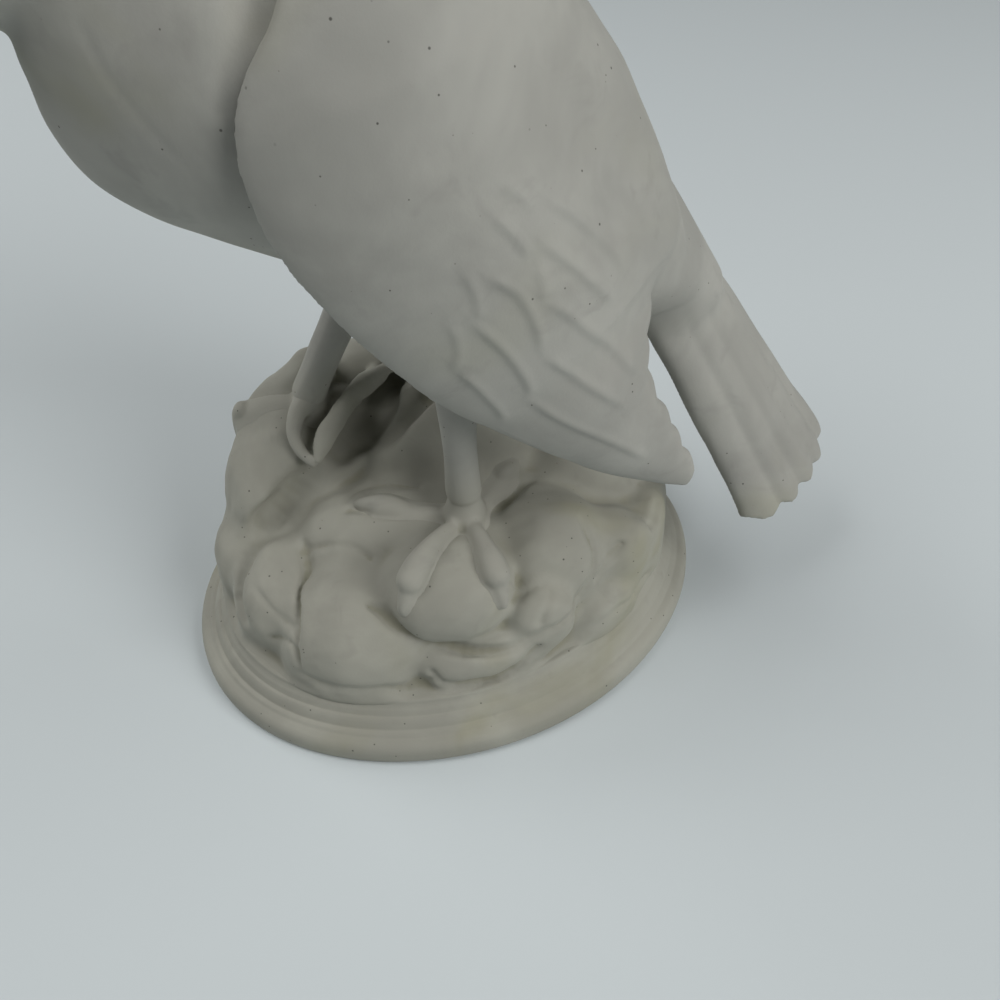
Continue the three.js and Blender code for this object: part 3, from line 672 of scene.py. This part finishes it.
def crease(space, field, line, radius):
    fine = spline(line, 3 * (len(line) - 1))
    swell = np.sin(np.pi * np.linspace(*CREASE_SPAN, len(fine)))
    carve(space, field, fine, radius * (CREASE_LEAST + (1 - CREASE_LEAST) * swell), CREASE_SOFTNESS)


def rock_field(space):
    heap = None
    for center, radii, turn, soft in BOULDERS:
        boulder = space.ellipsoid(center, radii, turn, BOULDER_POWER)
        heap = boulder if heap is None else join(heap, boulder, soft)
    skirt = np.maximum(space.oval(ROCK_INSET + SKIRT), space.z - (PLINTH_HEIGHT + SKIRT))
    heap = join(heap, skirt.astype(np.float32), SKIRT_SOFTNESS)
    for line in CRAG_LINES:
        carve(space, heap, *line)
    for line, radius in CREASES:
        crease(space, heap, line, radius)
    edge = space.oval(ROCK_INSET, EDGE_LEAN, PLINTH_HEIGHT + EDGE_UPRIGHT)
    heap = -join(-heap, -edge.astype(np.float32), EDGE_SOFTNESS)
    above = smoothstep(space.z, PLINTH_HEIGHT, PLINTH_HEIGHT + 5)
    return heap - (ripple(space, 17, 3) * 0.45 + ripple(space, 7, 4) * 0.14) * above


def rock():
    space = Space(*ROCK_BOX, ROCK_PITCH)
    heap = np.maximum(rock_field(space), ROCK_FOOT - space.z)
    return space.surface(np.maximum(heap, -space.ellipsoid(*ROCK_HOLLOW)))


rock_points, rock_quads = rock()
rock_piece = add_piece(rock_points, rock_quads, "rock_bisque", ["rock_mound"], BASE_BISQUE)
mark_shaded_hollows(rock_piece, rock_points, rock_quads)
rock_tree = BVHTree.FromPolygons(rock_points.tolist(), rock_quads.tolist())
ABOVE_ALL = 400


def ground(x, y):
    """Height of the rock's top at a place."""
    hit = rock_tree.ray_cast(Vector((x, y, ABOVE_ALL)), Vector((0, 0, -1)))[0]
    return hit.z if hit else PLINTH_HEIGHT


# Plinth

TERRACES = (3.4, 9.3)  # how far in from the rim they begin and end
TERRACE_FOOT = 0.55
TERRACE_SHARPNESS = 0.5
TERRACE_FADE = 0.35  # they get fainter towards the tail
TERRACE_STEPS = [  # inset, and height as a share of the plinth above its ring
    (4.1, 0.17), (4.7, 0.19), (5.2, 0.2), (5.7, 0.34), (6.4, 0.52), (7.0, 0.62), (7.4, 0.64),
    (7.8, 0.65), (8.2, 0.74), (8.7, 0.87), (9.3, 0.97), (9.8, 1.08), (10.3, 1.22), (12, 1.26),
]
TERRACE_RISE = (PLINTH_HEIGHT - PLINTH_RING_HEIGHT) * 0.97
RING_PROFILE = [  # inset and height
    (1.8, 0), (1.0, 0.12), (0.4, 0.7), (0, 1.8), (0, 3.2), (0.15, 4.6), (0.6, 5.9), (1.4, 6.9),
    (2.4, PLINTH_RING_HEIGHT + 0.05), (TERRACES[0], PLINTH_RING_HEIGHT + TERRACE_FOOT),
]
INNER_PROFILE = [(20.5, PLINTH_HEIGHT), (16, PLINTH_HEIGHT - 4.5), (11.5, 0)]
PLINTH_SEGMENTS = 240
PLINTH_STEPS = 110
PLINTH_WOBBLE = ((0.25, 3, 1), (0.15, 5, 2.2))  # size, waves around, start
PLINTH_SLACK = 0.4  # keeps the wobble within the CAD's outline


def terraced(inset, z, sharp):
    """The height of the profile, with its terraces sharp at 1 and a plain slope at 0."""
    low, high = TERRACES
    if not low < inset < high or z <= PLINTH_RING_HEIGHT:
        return z
    slope = PLINTH_RING_HEIGHT + TERRACE_FOOT
    slope += (inset - low) / (high - low) * (TERRACE_RISE - TERRACE_FOOT)
    return slope + (z - slope) * sharp


def plinth():
    rise = PLINTH_HEIGHT - PLINTH_RING_HEIGHT
    steps = [(inset, PLINTH_RING_HEIGHT + rise * share) for inset, share in TERRACE_STEPS]
    profile = spline(RING_PROFILE + steps, PLINTH_STEPS).tolist() + INNER_PROFILE
    c, s = math.cos(PLINTH_TURN), math.sin(PLINTH_TURN)
    points = []
    for j in range(PLINTH_SEGMENTS):
        angle = 2 * math.pi * j / PLINTH_SEGMENTS
        sharp = TERRACE_SHARPNESS - TERRACE_FADE * math.cos(angle)
        wobble = sum(size * math.sin(waves * angle + start) for size, waves, start in PLINTH_WOBBLE)
        for inset, z in profile:
            x = (PLINTH_LENGTH / 2 - inset - PLINTH_SLACK + wobble) * math.cos(angle)
            y = (PLINTH_WIDTH / 2 - inset - PLINTH_SLACK + wobble) * math.sin(angle)
            points.append((x * c - y * s, x * s + y * c, max(terraced(inset, z, sharp), 0)))
    points = np.array(points)
    m = len(profile)
    i, j = np.meshgrid(np.arange(PLINTH_SEGMENTS), np.arange(m), indexing="ij")
    a, b = (i + 1) % PLINTH_SEGMENTS, (j + 1) % m
    quads = np.stack([i * m + j, a * m + j, a * m + b, i * m + b], -1).reshape(-1, 4)
    return points, outward(points, quads)


plinth_points, plinth_quads = plinth()
plinth_piece = add_piece(plinth_points, plinth_quads, "plinth_bisque", ["plinth"], BASE_BISQUE)
mark_shaded_hollows(plinth_piece, plinth_points, plinth_quads, 1)


# Bird

LEGS = {
    "left": {"ankle": (5.5, -18), "rise": 11, "flare": 1, "knee": (5.5, -20, 100), "hip": (14, -20, 122)},
    "right": {"ankle": (-32, 18), "rise": 5, "flare": 0.85, "knee": (-14, 19, 103), "hip": (2, 20, 124)},
}
SHANK = 7.6
THIGH = 25
LEG_PLACES = (0, 0.1, 0.25, 0.55, 0.8, 1)  # shares of the way from ankle to knee; two more lead to the hip
LEG_SIZES = (SHANK, 0.96 * SHANK, 0.92 * SHANK, 0.96 * SHANK, 1.1 * SHANK, THIGH * 0.55, THIGH * 0.85, THIGH)

SHOULDER_FOLD = [(-22, -31, 190), (-23, -33, 185.5), (-26, -34.5, 181), (-29, -35, 176.5), (-31, -34.5, 171)]
SHOULDER_FOLD_RADII = [3.6, 3.2, 2.0, 0.8, -0.2]
KEEL_HOLLOW = [(-51, -27, 184), (-49, -29, 177), (-45, -31, 169), (-40, -32, 160)]
KEEL_HOLLOW_RADII = [-1.8, -1.4, -1.5, -2.0]

EYE = (-87, 211)
EYE_RADIUS = 4.8
EYE_DEPTH = 3.6
SOCKET_RADII = (6.0, 2.6, 5.0)
SOCKET_SOFTNESS = 2.2
LID_SOFTNESS = 0.4
CERE = [(-99, -4, 209.5), (-100.5, 0, 210.5), (-99, 4, 209.5)]
CERE_RADII = [3, 3.4, 3]
BROW = [(-98, 211.5), (-93, 216), (-86, 218.5), (-78, 217.5), (-71, 214.5)]
MOUTH = [(-107.5, 198.5), (-103, 201), (-98, 202), (-93, 201.5), (-88.5, 199.5)]
CHEEK = [(-90, 203), (-87, 198), (-83, 193.5)]
NOSTRIL = [(-103, 206), (-101.5, 206.8)]
HEAD_LINES = [  # line in side view, depth in the head's side, radii, softness, steps, cut or joined
    (BROW, 0.4, [1.2, 1.9, 2.2, 1.7, 0.8], 2.2, 12, join),
    (MOUTH, -0.1, [0.5] * len(MOUTH), 0.8, 12, cut),
    (CHEEK, -0.3, [0.5] * len(CHEEK), 2, 10, cut),
    (NOSTRIL, -0.2, [0.9, 0.7], 0.5, None, cut),
]

BIRD_BOX = ((-117, -51, 28), (118.2, 51, 231))
BIRD_PITCH = 0.6
HIP_FILLET = 7
TAIL_FILLET = 12
WING_FILLET = 1.2
BACK_FILLET = 9  # more where a wing passes over the back


def ankle_of(leg):
    x, y = leg["ankle"]
    return np.array([x, y, ground(x, y) + leg["rise"]])


def leg_field(space, leg):
    ankle, knee, hip = ankle_of(leg), np.array(leg["knee"], float), np.array(leg["hip"], float)
    path = [ankle + (knee - ankle) * share for share in LEG_PLACES] + [(knee + hip) / 2, hip]
    return space.curved_limb(path, LEG_SIZES, 28, 0.2)


def turned(line, side):
    return [(x, side * y, z) for x, y, z in line]


def breast_forms(space, field):
    """The deep fold in front of each wing's shoulder, and the faint keel line down the breast."""
    for side in SIDES:
        carve(space, field, turned(SHOULDER_FOLD, side), SHOULDER_FOLD_RADII, 3, 14)
    for side in SIDES:
        carve(space, field, turned(KEEL_HOLLOW, side), KEEL_HOLLOW_RADII, 4, 10)


def on_side(space, field, line, depth):
    """A line drawn in side view, laid at a depth in the side of a form."""
    places = []
    for x, z in line:
        i, k = (int(round((v - low) / space.pitch)) for v, low in ((x, space.low[0]), (z, space.low[2])))
        outermost = np.flatnonzero(field[i, :, k] < 0)[-1]
        places.append((x, space.low[1] + outermost * space.pitch - depth, z))
    return places


def head_forms(space, field):
    """Brows, eyes, the swollen base of the beak, nostrils and the line of the mouth."""
    eye = on_side(space, field, [EYE], EYE_DEPTH)
    lines = [(on_side(space, field, line, depth), *form) for line, depth, *form in HEAD_LINES]
    carve(space, field, CERE, CERE_RADII, 2, mix=join)
    for side in SIDES:
        spot = turned(eye, side)
        near, place = space.around(spot, 14)
        socket = near.ellipsoid(np.array(spot[0]) + (0, side * SOCKET_RADII[1], 0), SOCKET_RADII)
        field[place] = cut(field[place], socket, SOCKET_SOFTNESS)
        field[place] = join(field[place], near.ellipsoid(spot[0], (EYE_RADIUS,) * 3), LID_SOFTNESS)
        for line, *form in lines:
            carve(space, field, turned(line, side), *form)


def bird():
    space = Space(*BIRD_BOX, BIRD_PITCH)
    whole = space.loft(section_rings(320, 120), 8)
    for leg in LEGS.values():
        near, place = space.around([ankle_of(leg), leg["knee"], leg["hip"]], THIGH / 2 + 9)
        whole[place] = join(whole[place], leg_field(near, leg), HIP_FILLET)
    whole = join(whole, space.loft(tail_rings(), 6), TAIL_FILLET)
    left = space.loft(wing_rings(), 8)
    right = left[:, ::-1]
    inward = -np.abs(space.y)
    away = np.maximum(smoothstep(space.z, 116, 130), smoothstep(inward, -22, -14))
    away = smoothstep(inward, -33, -18) * away
    soft = (WING_FILLET + BACK_FILLET * away).astype(np.float32)
    whole = join(join(whole, left, soft), right, soft)
    breast_forms(space, whole)
    head_forms(space, whole)
    points, quads = space.surface(whole)
    return relax(points, quads, 3), quads


# Feathers

WING_RIDGES = [  # soft edges of the feathers as x, z on the wing, then height
    ([(23.5, 151.5), (28.5, 147), (34, 141), (38.5, 135), (42, 128)], 0.85),
    ([(31, 152), (35, 147.5), (38.5, 143)], 0.5),
    ([(36.5, 152), (42, 145), (46, 138)], 0.35),
    ([(22, 144), (26, 140), (30.5, 135), (35, 129.5), (39, 124)], 0.9),
    ([(22, 132.5), (26.5, 128.5), (31.5, 122.5), (37.5, 115.5), (43, 108), (48, 102)], 1.0),
    ([(22, 119.5), (26, 115), (30.5, 110), (37, 104), (43, 97)], 1.0),
    ([(18.5, 107.5), (23.5, 102.5), (30.5, 97), (37.5, 91.5), (44.5, 85), (49, 80)], 1.0),
    ([(13.5, 96), (18.5, 91.5), (25, 86.5), (31, 82)], 0.6),
    ([(21, 139.5), (22, 136), (22, 132.5)], 0.7),
    ([(11, 140), (14, 138), (17, 135), (19.5, 130), (21, 124.5), (21.5, 118.5)], 1.0),
    ([(13, 151), (15.5, 148.5), (18, 145), (20, 141)], 0.85),
    ([(15, 156.5), (18.5, 153.5), (21, 150)], 0.6),
    ([(7.5, 131), (11, 126.5), (14.5, 121.5), (17.5, 115.5), (19, 111), (19, 106.5)], 1.0),
    ([(6.5, 142.5), (8, 139), (9, 134.5), (8.5, 130.5)], 0.7),
    ([(3, 131), (4.5, 126.5), (4.5, 122), (3, 118.5)], 0.6),
    ([(3.5, 119), (7.5, 114), (10.5, 109), (13, 103.5), (13.5, 98)], 0.9),
]
RIDGE_HEIGHT = 0.62
RIDGE_BREADTH = 1.2
SLOPE_BREADTH = 4.2  # the gentle side of a feather's edge
FEATHERED_X = (-6, 66)
FEATHERED_Z = (64, 168)
FEATHERED_OUT = (0.15, 0.5)  # how far the skin has to face outward
WING_SIDE = 24  # the wings' outer faces lie further out than this


def distance_to_line(p, line):
    """Distance from each point to a smooth line, how far along it, and on which side."""
    fine = spline(line, 12 * (len(line) - 1))
    best = np.full(len(p), 1e9)
    share = np.zeros(len(p))
    side = np.zeros(len(p))
    for k in range(len(fine) - 1):
        a, b = fine[k], fine[k + 1]
        d = b - a
        t = np.clip(((p - a) @ d) / (d @ d), 0, 1)
        gap = p - a - t[:, None] * d
        dist = np.linalg.norm(gap, axis=1)
        closer = dist < best
        best = np.where(closer, dist, best)
        share = np.where(closer, (k + t) / (len(fine) - 1), share)
        side = np.where(closer, np.sign(d[0] * gap[:, 1] - d[1] * gap[:, 0]), side)
    return best, share, side


def feather_relief(points, normals):
    """Height of the feather edges on the outer face of both wings."""
    x, y, z = points.T
    out = normals[:, 1] * np.sign(y)
    zone = (np.abs(y) > WING_SIDE) & (out > FEATHERED_OUT[0])
    zone &= (x > FEATHERED_X[0]) & (x < FEATHERED_X[1]) & (z > FEATHERED_Z[0]) & (z < FEATHERED_Z[1])
    p = points[zone][:, [0, 2]]
    height = np.zeros(len(p))
    for line, rise in WING_RIDGES:
        dist, share, side = distance_to_line(p, line)
        fade = (0.3 + 0.7 * smoothstep(share, 0, 0.2)) * (1 - smoothstep(share, 0.75, 1.0))
        ridge = np.exp(-(dist / RIDGE_BREADTH) ** 2)
        slope = np.exp(-(dist / SLOPE_BREADTH) ** 2) * smoothstep(side * dist, -1.6, 1.6)
        height = height + RIDGE_HEIGHT * rise * fade * (0.75 * ridge + 0.5 * slope)
    total = np.zeros(len(points))
    total[zone] = height * smoothstep(out[zone], *FEATHERED_OUT)
    return total


DUST_HEIGHTS = (-2, 20)  # above the ankle
DUST_REACH = 30


def dustiness(points):
    """1 at the ankles, fading out up the shanks."""
    x, y, z = points.T
    on_leg = (np.abs(y) < DUST_REACH) & (x < DUST_REACH)
    ankles = np.where(y < 0, ankle_of(LEGS["left"])[2], ankle_of(LEGS["right"])[2])
    return (1 - smoothstep(z - ankles, *DUST_HEIGHTS)) * on_leg


bird_points, bird_quads = bird()
bird_normals = normals_of(bird_points, bird_quads)
relief = feather_relief(bird_points, bird_normals)
dusty = dustiness(bird_points)
uneven = waviness(bird_points, 30, 7) * 0.25 + waviness(bird_points, 13, 8) * 0.08
# The shanks stay even near the ankles, where the feet fit around them
bird_points = bird_points + bird_normals * (relief + uneven * (1 - dusty))[:, None]
BIRD_NODES = ["torso", "head", "left_wing", "right_wing", "tail", "left_leg", "right_leg"]
bird_piece = add_piece(bird_points, bird_quads, "bird_bisque", BIRD_NODES, BIRD_BISQUE)
mark_shaded_hollows(bird_piece, bird_points, bird_quads)
store(bird_piece, "dusty", dusty)


# Feet

TOES = {  # direction in degrees, length to the knuckle, lift off the rock in diameters, claw's reach and fall
    "left": [(161, 24, -0.12, 6, 0.8), (231, 28, 0.3, 5, 1.3), (281, 23.5, 0.3, 5, 1.3),
             (42, 17, -0.3, 5, 0.5)],
    "right": [(164, 21, -0.55, 3.5, 4.5), (35, 10, 0.1, 5, 1.5)],
}
TOE_SIZES = [(0, 6), (0.2, 4.2), (0.4, 4.4), (0.65, 5.2), (0.85, 6.8), (1.0, 7.4)]
CLAW_SIZES = [(0.1, 5.4), (0.5, 4.4), (0.8, 3.4), (1.0, 2.2)]
TOE_START = 0.45  # share of the ankle's height
CLAW_LIFT = 0.04
CLAW_DROP = 0.5
CLAW_SOFTNESS = 0.6
TOE_SOFTNESS = 2.6
TOE_FILLET = 1.4
TOE_SPREAD = 0.8  # how far the fillet may widen a toe, as a share of it
ROCK_LAP = 0.8  # how deep a foot reaches into the rock
STRAND = [(-32, 17, 68), (-36, 12.8, 66), (-38, 8.6, 62), (-36.8, 4.7, 58.6), (-34, 2, 55.5)]
STRAND_RADII = [3.4, 2.5, 1.9, 1.5, 1.0]
SLEEVE = (-0.12, 0.9)  # how far the foot's skin lies outside the shank at its top and at its low end
SLEEVE_TOP = 5.5  # above the ankle
SLEEVE_DROP = 12
SLEEVE_SOFTNESS = 2.2
HEEL_RADII = np.array((0.15, 0.46, 0.66, 0.8)) * SHANK
FOOT_REACH = 40
FOOT_PITCH = 0.5


def toe_path(leg, ahead, length, lift):
    """Middle line and diameters of a toe that follows the rock and never falls steeper than 45 degrees."""
    x, y = leg["ankle"]
    path = [np.array([x, y, ground(x, y) + leg["rise"] * TOE_START])]
    for share, size in TOE_SIZES[1:]:
        spot = np.array([x, y]) + ahead * length * share
        path.append(np.array([*spot, ground(*spot) + size * lift]))
    for i in range(1, len(path)):
        path[i][2] = max(path[i][2], path[i - 1][2] - np.hypot(*(path[i] - path[i - 1])[:2]))
    return path, [size for _, size in TOE_SIZES]


def claw_path(leg, ahead, length, knuckle_height, reach, fall):
    path = []
    for share, size in CLAW_SIZES:
        spot = np.array(leg["ankle"]) + ahead * (length + reach * share)
        lowest = knuckle_height - reach * share * fall - CLAW_DROP
        path.append(np.array([*spot, max(ground(*spot) + size * CLAW_LIFT, lowest)]))
    return path, [size for _, size in CLAW_SIZES]


def toe(space, leg, direction, length, lift, claw_reach, claw_fall):
    """A toe that swells to its knuckle, and the claw that bends down in front of it."""
    ahead = np.array([math.cos(math.radians(direction)), math.sin(math.radians(direction))])
    path, sizes = toe_path(leg, ahead, length, lift)
    whole = space.curved_limb(path, sizes, 24, 0.3)
    claw = space.curved_limb(*claw_path(leg, ahead, length, path[-1][2], claw_reach, claw_fall), 10, 0.3)
    return join(whole, claw, CLAW_SOFTNESS)


def foot(side):
    leg = LEGS[side]
    x, y, ankle = ankle_of(leg)
    rise, top = leg["rise"], ankle + SLEEVE_TOP
    low = (x - FOOT_REACH, y - FOOT_REACH, ankle - FOOT_REACH)
    space = Space(low, (x + FOOT_REACH, y + FOOT_REACH, top + 3), FOOT_PITCH)
    heights = (ankle, ankle - rise * 0.3, ankle - rise * 0.65, ankle - rise - 2)
    whole = space.limb([(x, y, z) for z in heights], HEEL_RADII * leg["flare"], 2)
    lap = SLEEVE[0] + (SLEEVE[1] - SLEEVE[0]) * smoothstep(top - space.z, 0, SLEEVE_DROP)
    whole = join(whole, leg_field(space, leg) - lap, SLEEVE_SOFTNESS)
    for form in TOES[side]:
        whole = join(whole, toe(space, leg, *form), TOE_SOFTNESS)
    if side == "right":
        carve(space, whole, STRAND, STRAND_RADII, 1.5, 16, join)
    whole = np.maximum(whole, space.z - top)
    stone = rock_field(space)
    seated = np.maximum(join(whole, stone, TOE_FILLET), whole - TOE_SPREAD * TOE_FILLET)
    points, quads = space.surface(np.maximum(seated, -(stone + ROCK_LAP)))
    return relax(points, quads, 2), quads


for side in LEGS:
    points, quads = foot(side)
    piece = add_piece(points, quads, side + "_foot_bisque", [side + "_foot"], BIRD_BISQUE)
    mark_shaded_hollows(piece, points, quads)
    store(piece, "dusty", np.ones(len(points)))


# Floor, light and camera

FLOOR_HALF = 4.0
FLOOR_PAINT = (0.60, 0.65, 0.66)
FLOOR_ROUGHNESS = 0.9
FLOOR_FADE = (0.8, 1.5)  # metres from the middle, between which the floor passes into the backdrop
BACKDROP = (0.50, 0.54, 0.55)
SKY = (0.95, 0.98, 1.0)
SKY_STRENGTH = 0.02
LAMPS = {  # place, power
    "front_right": ((0.8, -0.8, 0.8), 11.0),
    "left": ((-0.7, 0, 1.2), 6.5),
    "back_left": ((-0.8, 0.8, 0.8), 4.5),
    "right": ((0.7, 0, 1.2), 2.5),
}
LAMP_SIZE = 0.8
LAMP_AIM = (0, 0, 0.1)
CAMERA_PITCH, CAMERA_ROLL, CAMERA_TURN = math.radians(46), math.radians(3), math.radians(8)
CAMERA_PLACE = (-10.41, -200.50, 241.6)
SENSOR = 36
FOCAL_SHARE = 0.97  # focal length as a share of the sensor's width


def seen_directly(nodes, links):
    """1 for what the camera sees, straight on or by reflection or through something, 0 for stray light."""
    rays = nodes.new("ShaderNodeLightPath")
    seen = rays.outputs["Is Camera Ray"]
    for other in ("Is Glossy Ray", "Is Transmission Ray"):
        either = nodes.new("ShaderNodeMath")
        either.operation = "MAXIMUM"
        links.new(seen, either.inputs[0])
        links.new(rays.outputs[other], either.inputs[1])
        seen = either.outputs[0]
    return seen


def floor_paint():
    """Plain paint, which passes into the backdrop's colour far from the object."""
    p = Painter("floor_paint")
    away = p.nodes.new("ShaderNodeVectorMath")
    away.operation = "LENGTH"
    p.fill(away.inputs[0], p.place)
    fade = p.calc("MULTIPLY", p.ramp(away.outputs["Value"], *FLOOR_FADE), seen_directly(p.nodes, p.links))
    paint = p.nodes.new("ShaderNodeBsdfPrincipled")
    p.fill(paint.inputs["Base Color"], FLOOR_PAINT)
    p.fill(paint.inputs["Roughness"], FLOOR_ROUGHNESS)
    distance = p.nodes.new("ShaderNodeEmission")
    p.fill(distance.inputs["Color"], BACKDROP)
    mix = p.nodes.new("ShaderNodeMixShader")
    for index, value in enumerate((fade, paint.outputs["BSDF"], distance.outputs["Emission"])):
        p.fill(mix.inputs[index], value)
    out = p.nodes.new("ShaderNodeOutputMaterial")
    p.fill(out.inputs["Surface"], mix.outputs["Shader"])
    return p.material


def stage():
    corners = [(x * FLOOR_HALF, y * FLOOR_HALF, 0) for x, y in ((-1, -1), (1, -1), (1, 1), (-1, 1))]
    mesh = bpy.data.meshes.new("floor")
    mesh.from_pydata(corners, [], [(0, 1, 2, 3)])
    floor = bpy.data.objects.new("floor", mesh)
    bpy.context.scene.collection.objects.link(floor)
    mesh.materials.append(floor_paint())


def soft_lamp(name, place, power):
    lamp = bpy.data.lights.new(name, "AREA")
    lamp.shape = "DISK"
    lamp.size = LAMP_SIZE
    lamp.energy = power
    lamp_object = bpy.data.objects.new(name, lamp)
    lamp_object.location = place
    lamp_object.rotation_euler = (Vector(LAMP_AIM) - Vector(place)).to_track_quat("-Z", "Y").to_euler()
    bpy.context.scene.collection.objects.link(lamp_object)


def world():
    sky = bpy.data.worlds.new("studio")
    sky.use_nodes = True
    nodes, links = sky.node_tree.nodes, sky.node_tree.links
    light = nodes["Background"]
    light.inputs["Color"].default_value = (*SKY, 1)
    light.inputs["Strength"].default_value = SKY_STRENGTH
    backdrop = nodes.new("ShaderNodeBackground")
    backdrop.inputs["Color"].default_value = (*BACKDROP, 1)
    mix = nodes.new("ShaderNodeMixShader")
    links.new(seen_directly(nodes, links), mix.inputs[0])
    links.new(light.outputs["Background"], mix.inputs[1])
    links.new(backdrop.outputs["Background"], mix.inputs[2])
    links.new(mix.outputs["Shader"], nodes["World Output"].inputs["Surface"])
    bpy.context.scene.world = sky


def camera():
    right = Vector((math.cos(CAMERA_TURN), -math.sin(CAMERA_TURN), 0))
    level = Vector((math.sin(CAMERA_TURN), math.cos(CAMERA_TURN), 0))
    ahead = level * math.cos(CAMERA_PITCH) - Vector((0, 0, math.sin(CAMERA_PITCH)))
    up = level * math.sin(CAMERA_PITCH) + Vector((0, 0, math.cos(CAMERA_PITCH)))
    across = right * math.cos(CAMERA_ROLL) - up * math.sin(CAMERA_ROLL)
    above = right * math.sin(CAMERA_ROLL) + up * math.cos(CAMERA_ROLL)
    data = bpy.data.cameras.new("camera")
    data.sensor_width = SENSOR
    data.lens = SENSOR * FOCAL_SHARE
    data.clip_start = 0.01
    eye = bpy.data.objects.new("camera", data)
    place = Vector(CAMERA_PLACE) * METRES + Vector(MIDDLE)
    columns = [(*axis, 0) for axis in (across, above, -ahead)] + [(*place, 1)]
    eye.matrix_world = Matrix(columns).transposed()
    bpy.context.scene.collection.objects.link(eye)
    bpy.context.scene.camera = eye


stage()
world()
for lamp_name, (lamp_place, lamp_power) in LAMPS.items():
    soft_lamp(lamp_name, lamp_place, lamp_power)
camera()
bpy.context.scene.view_settings.view_transform = "Standard"
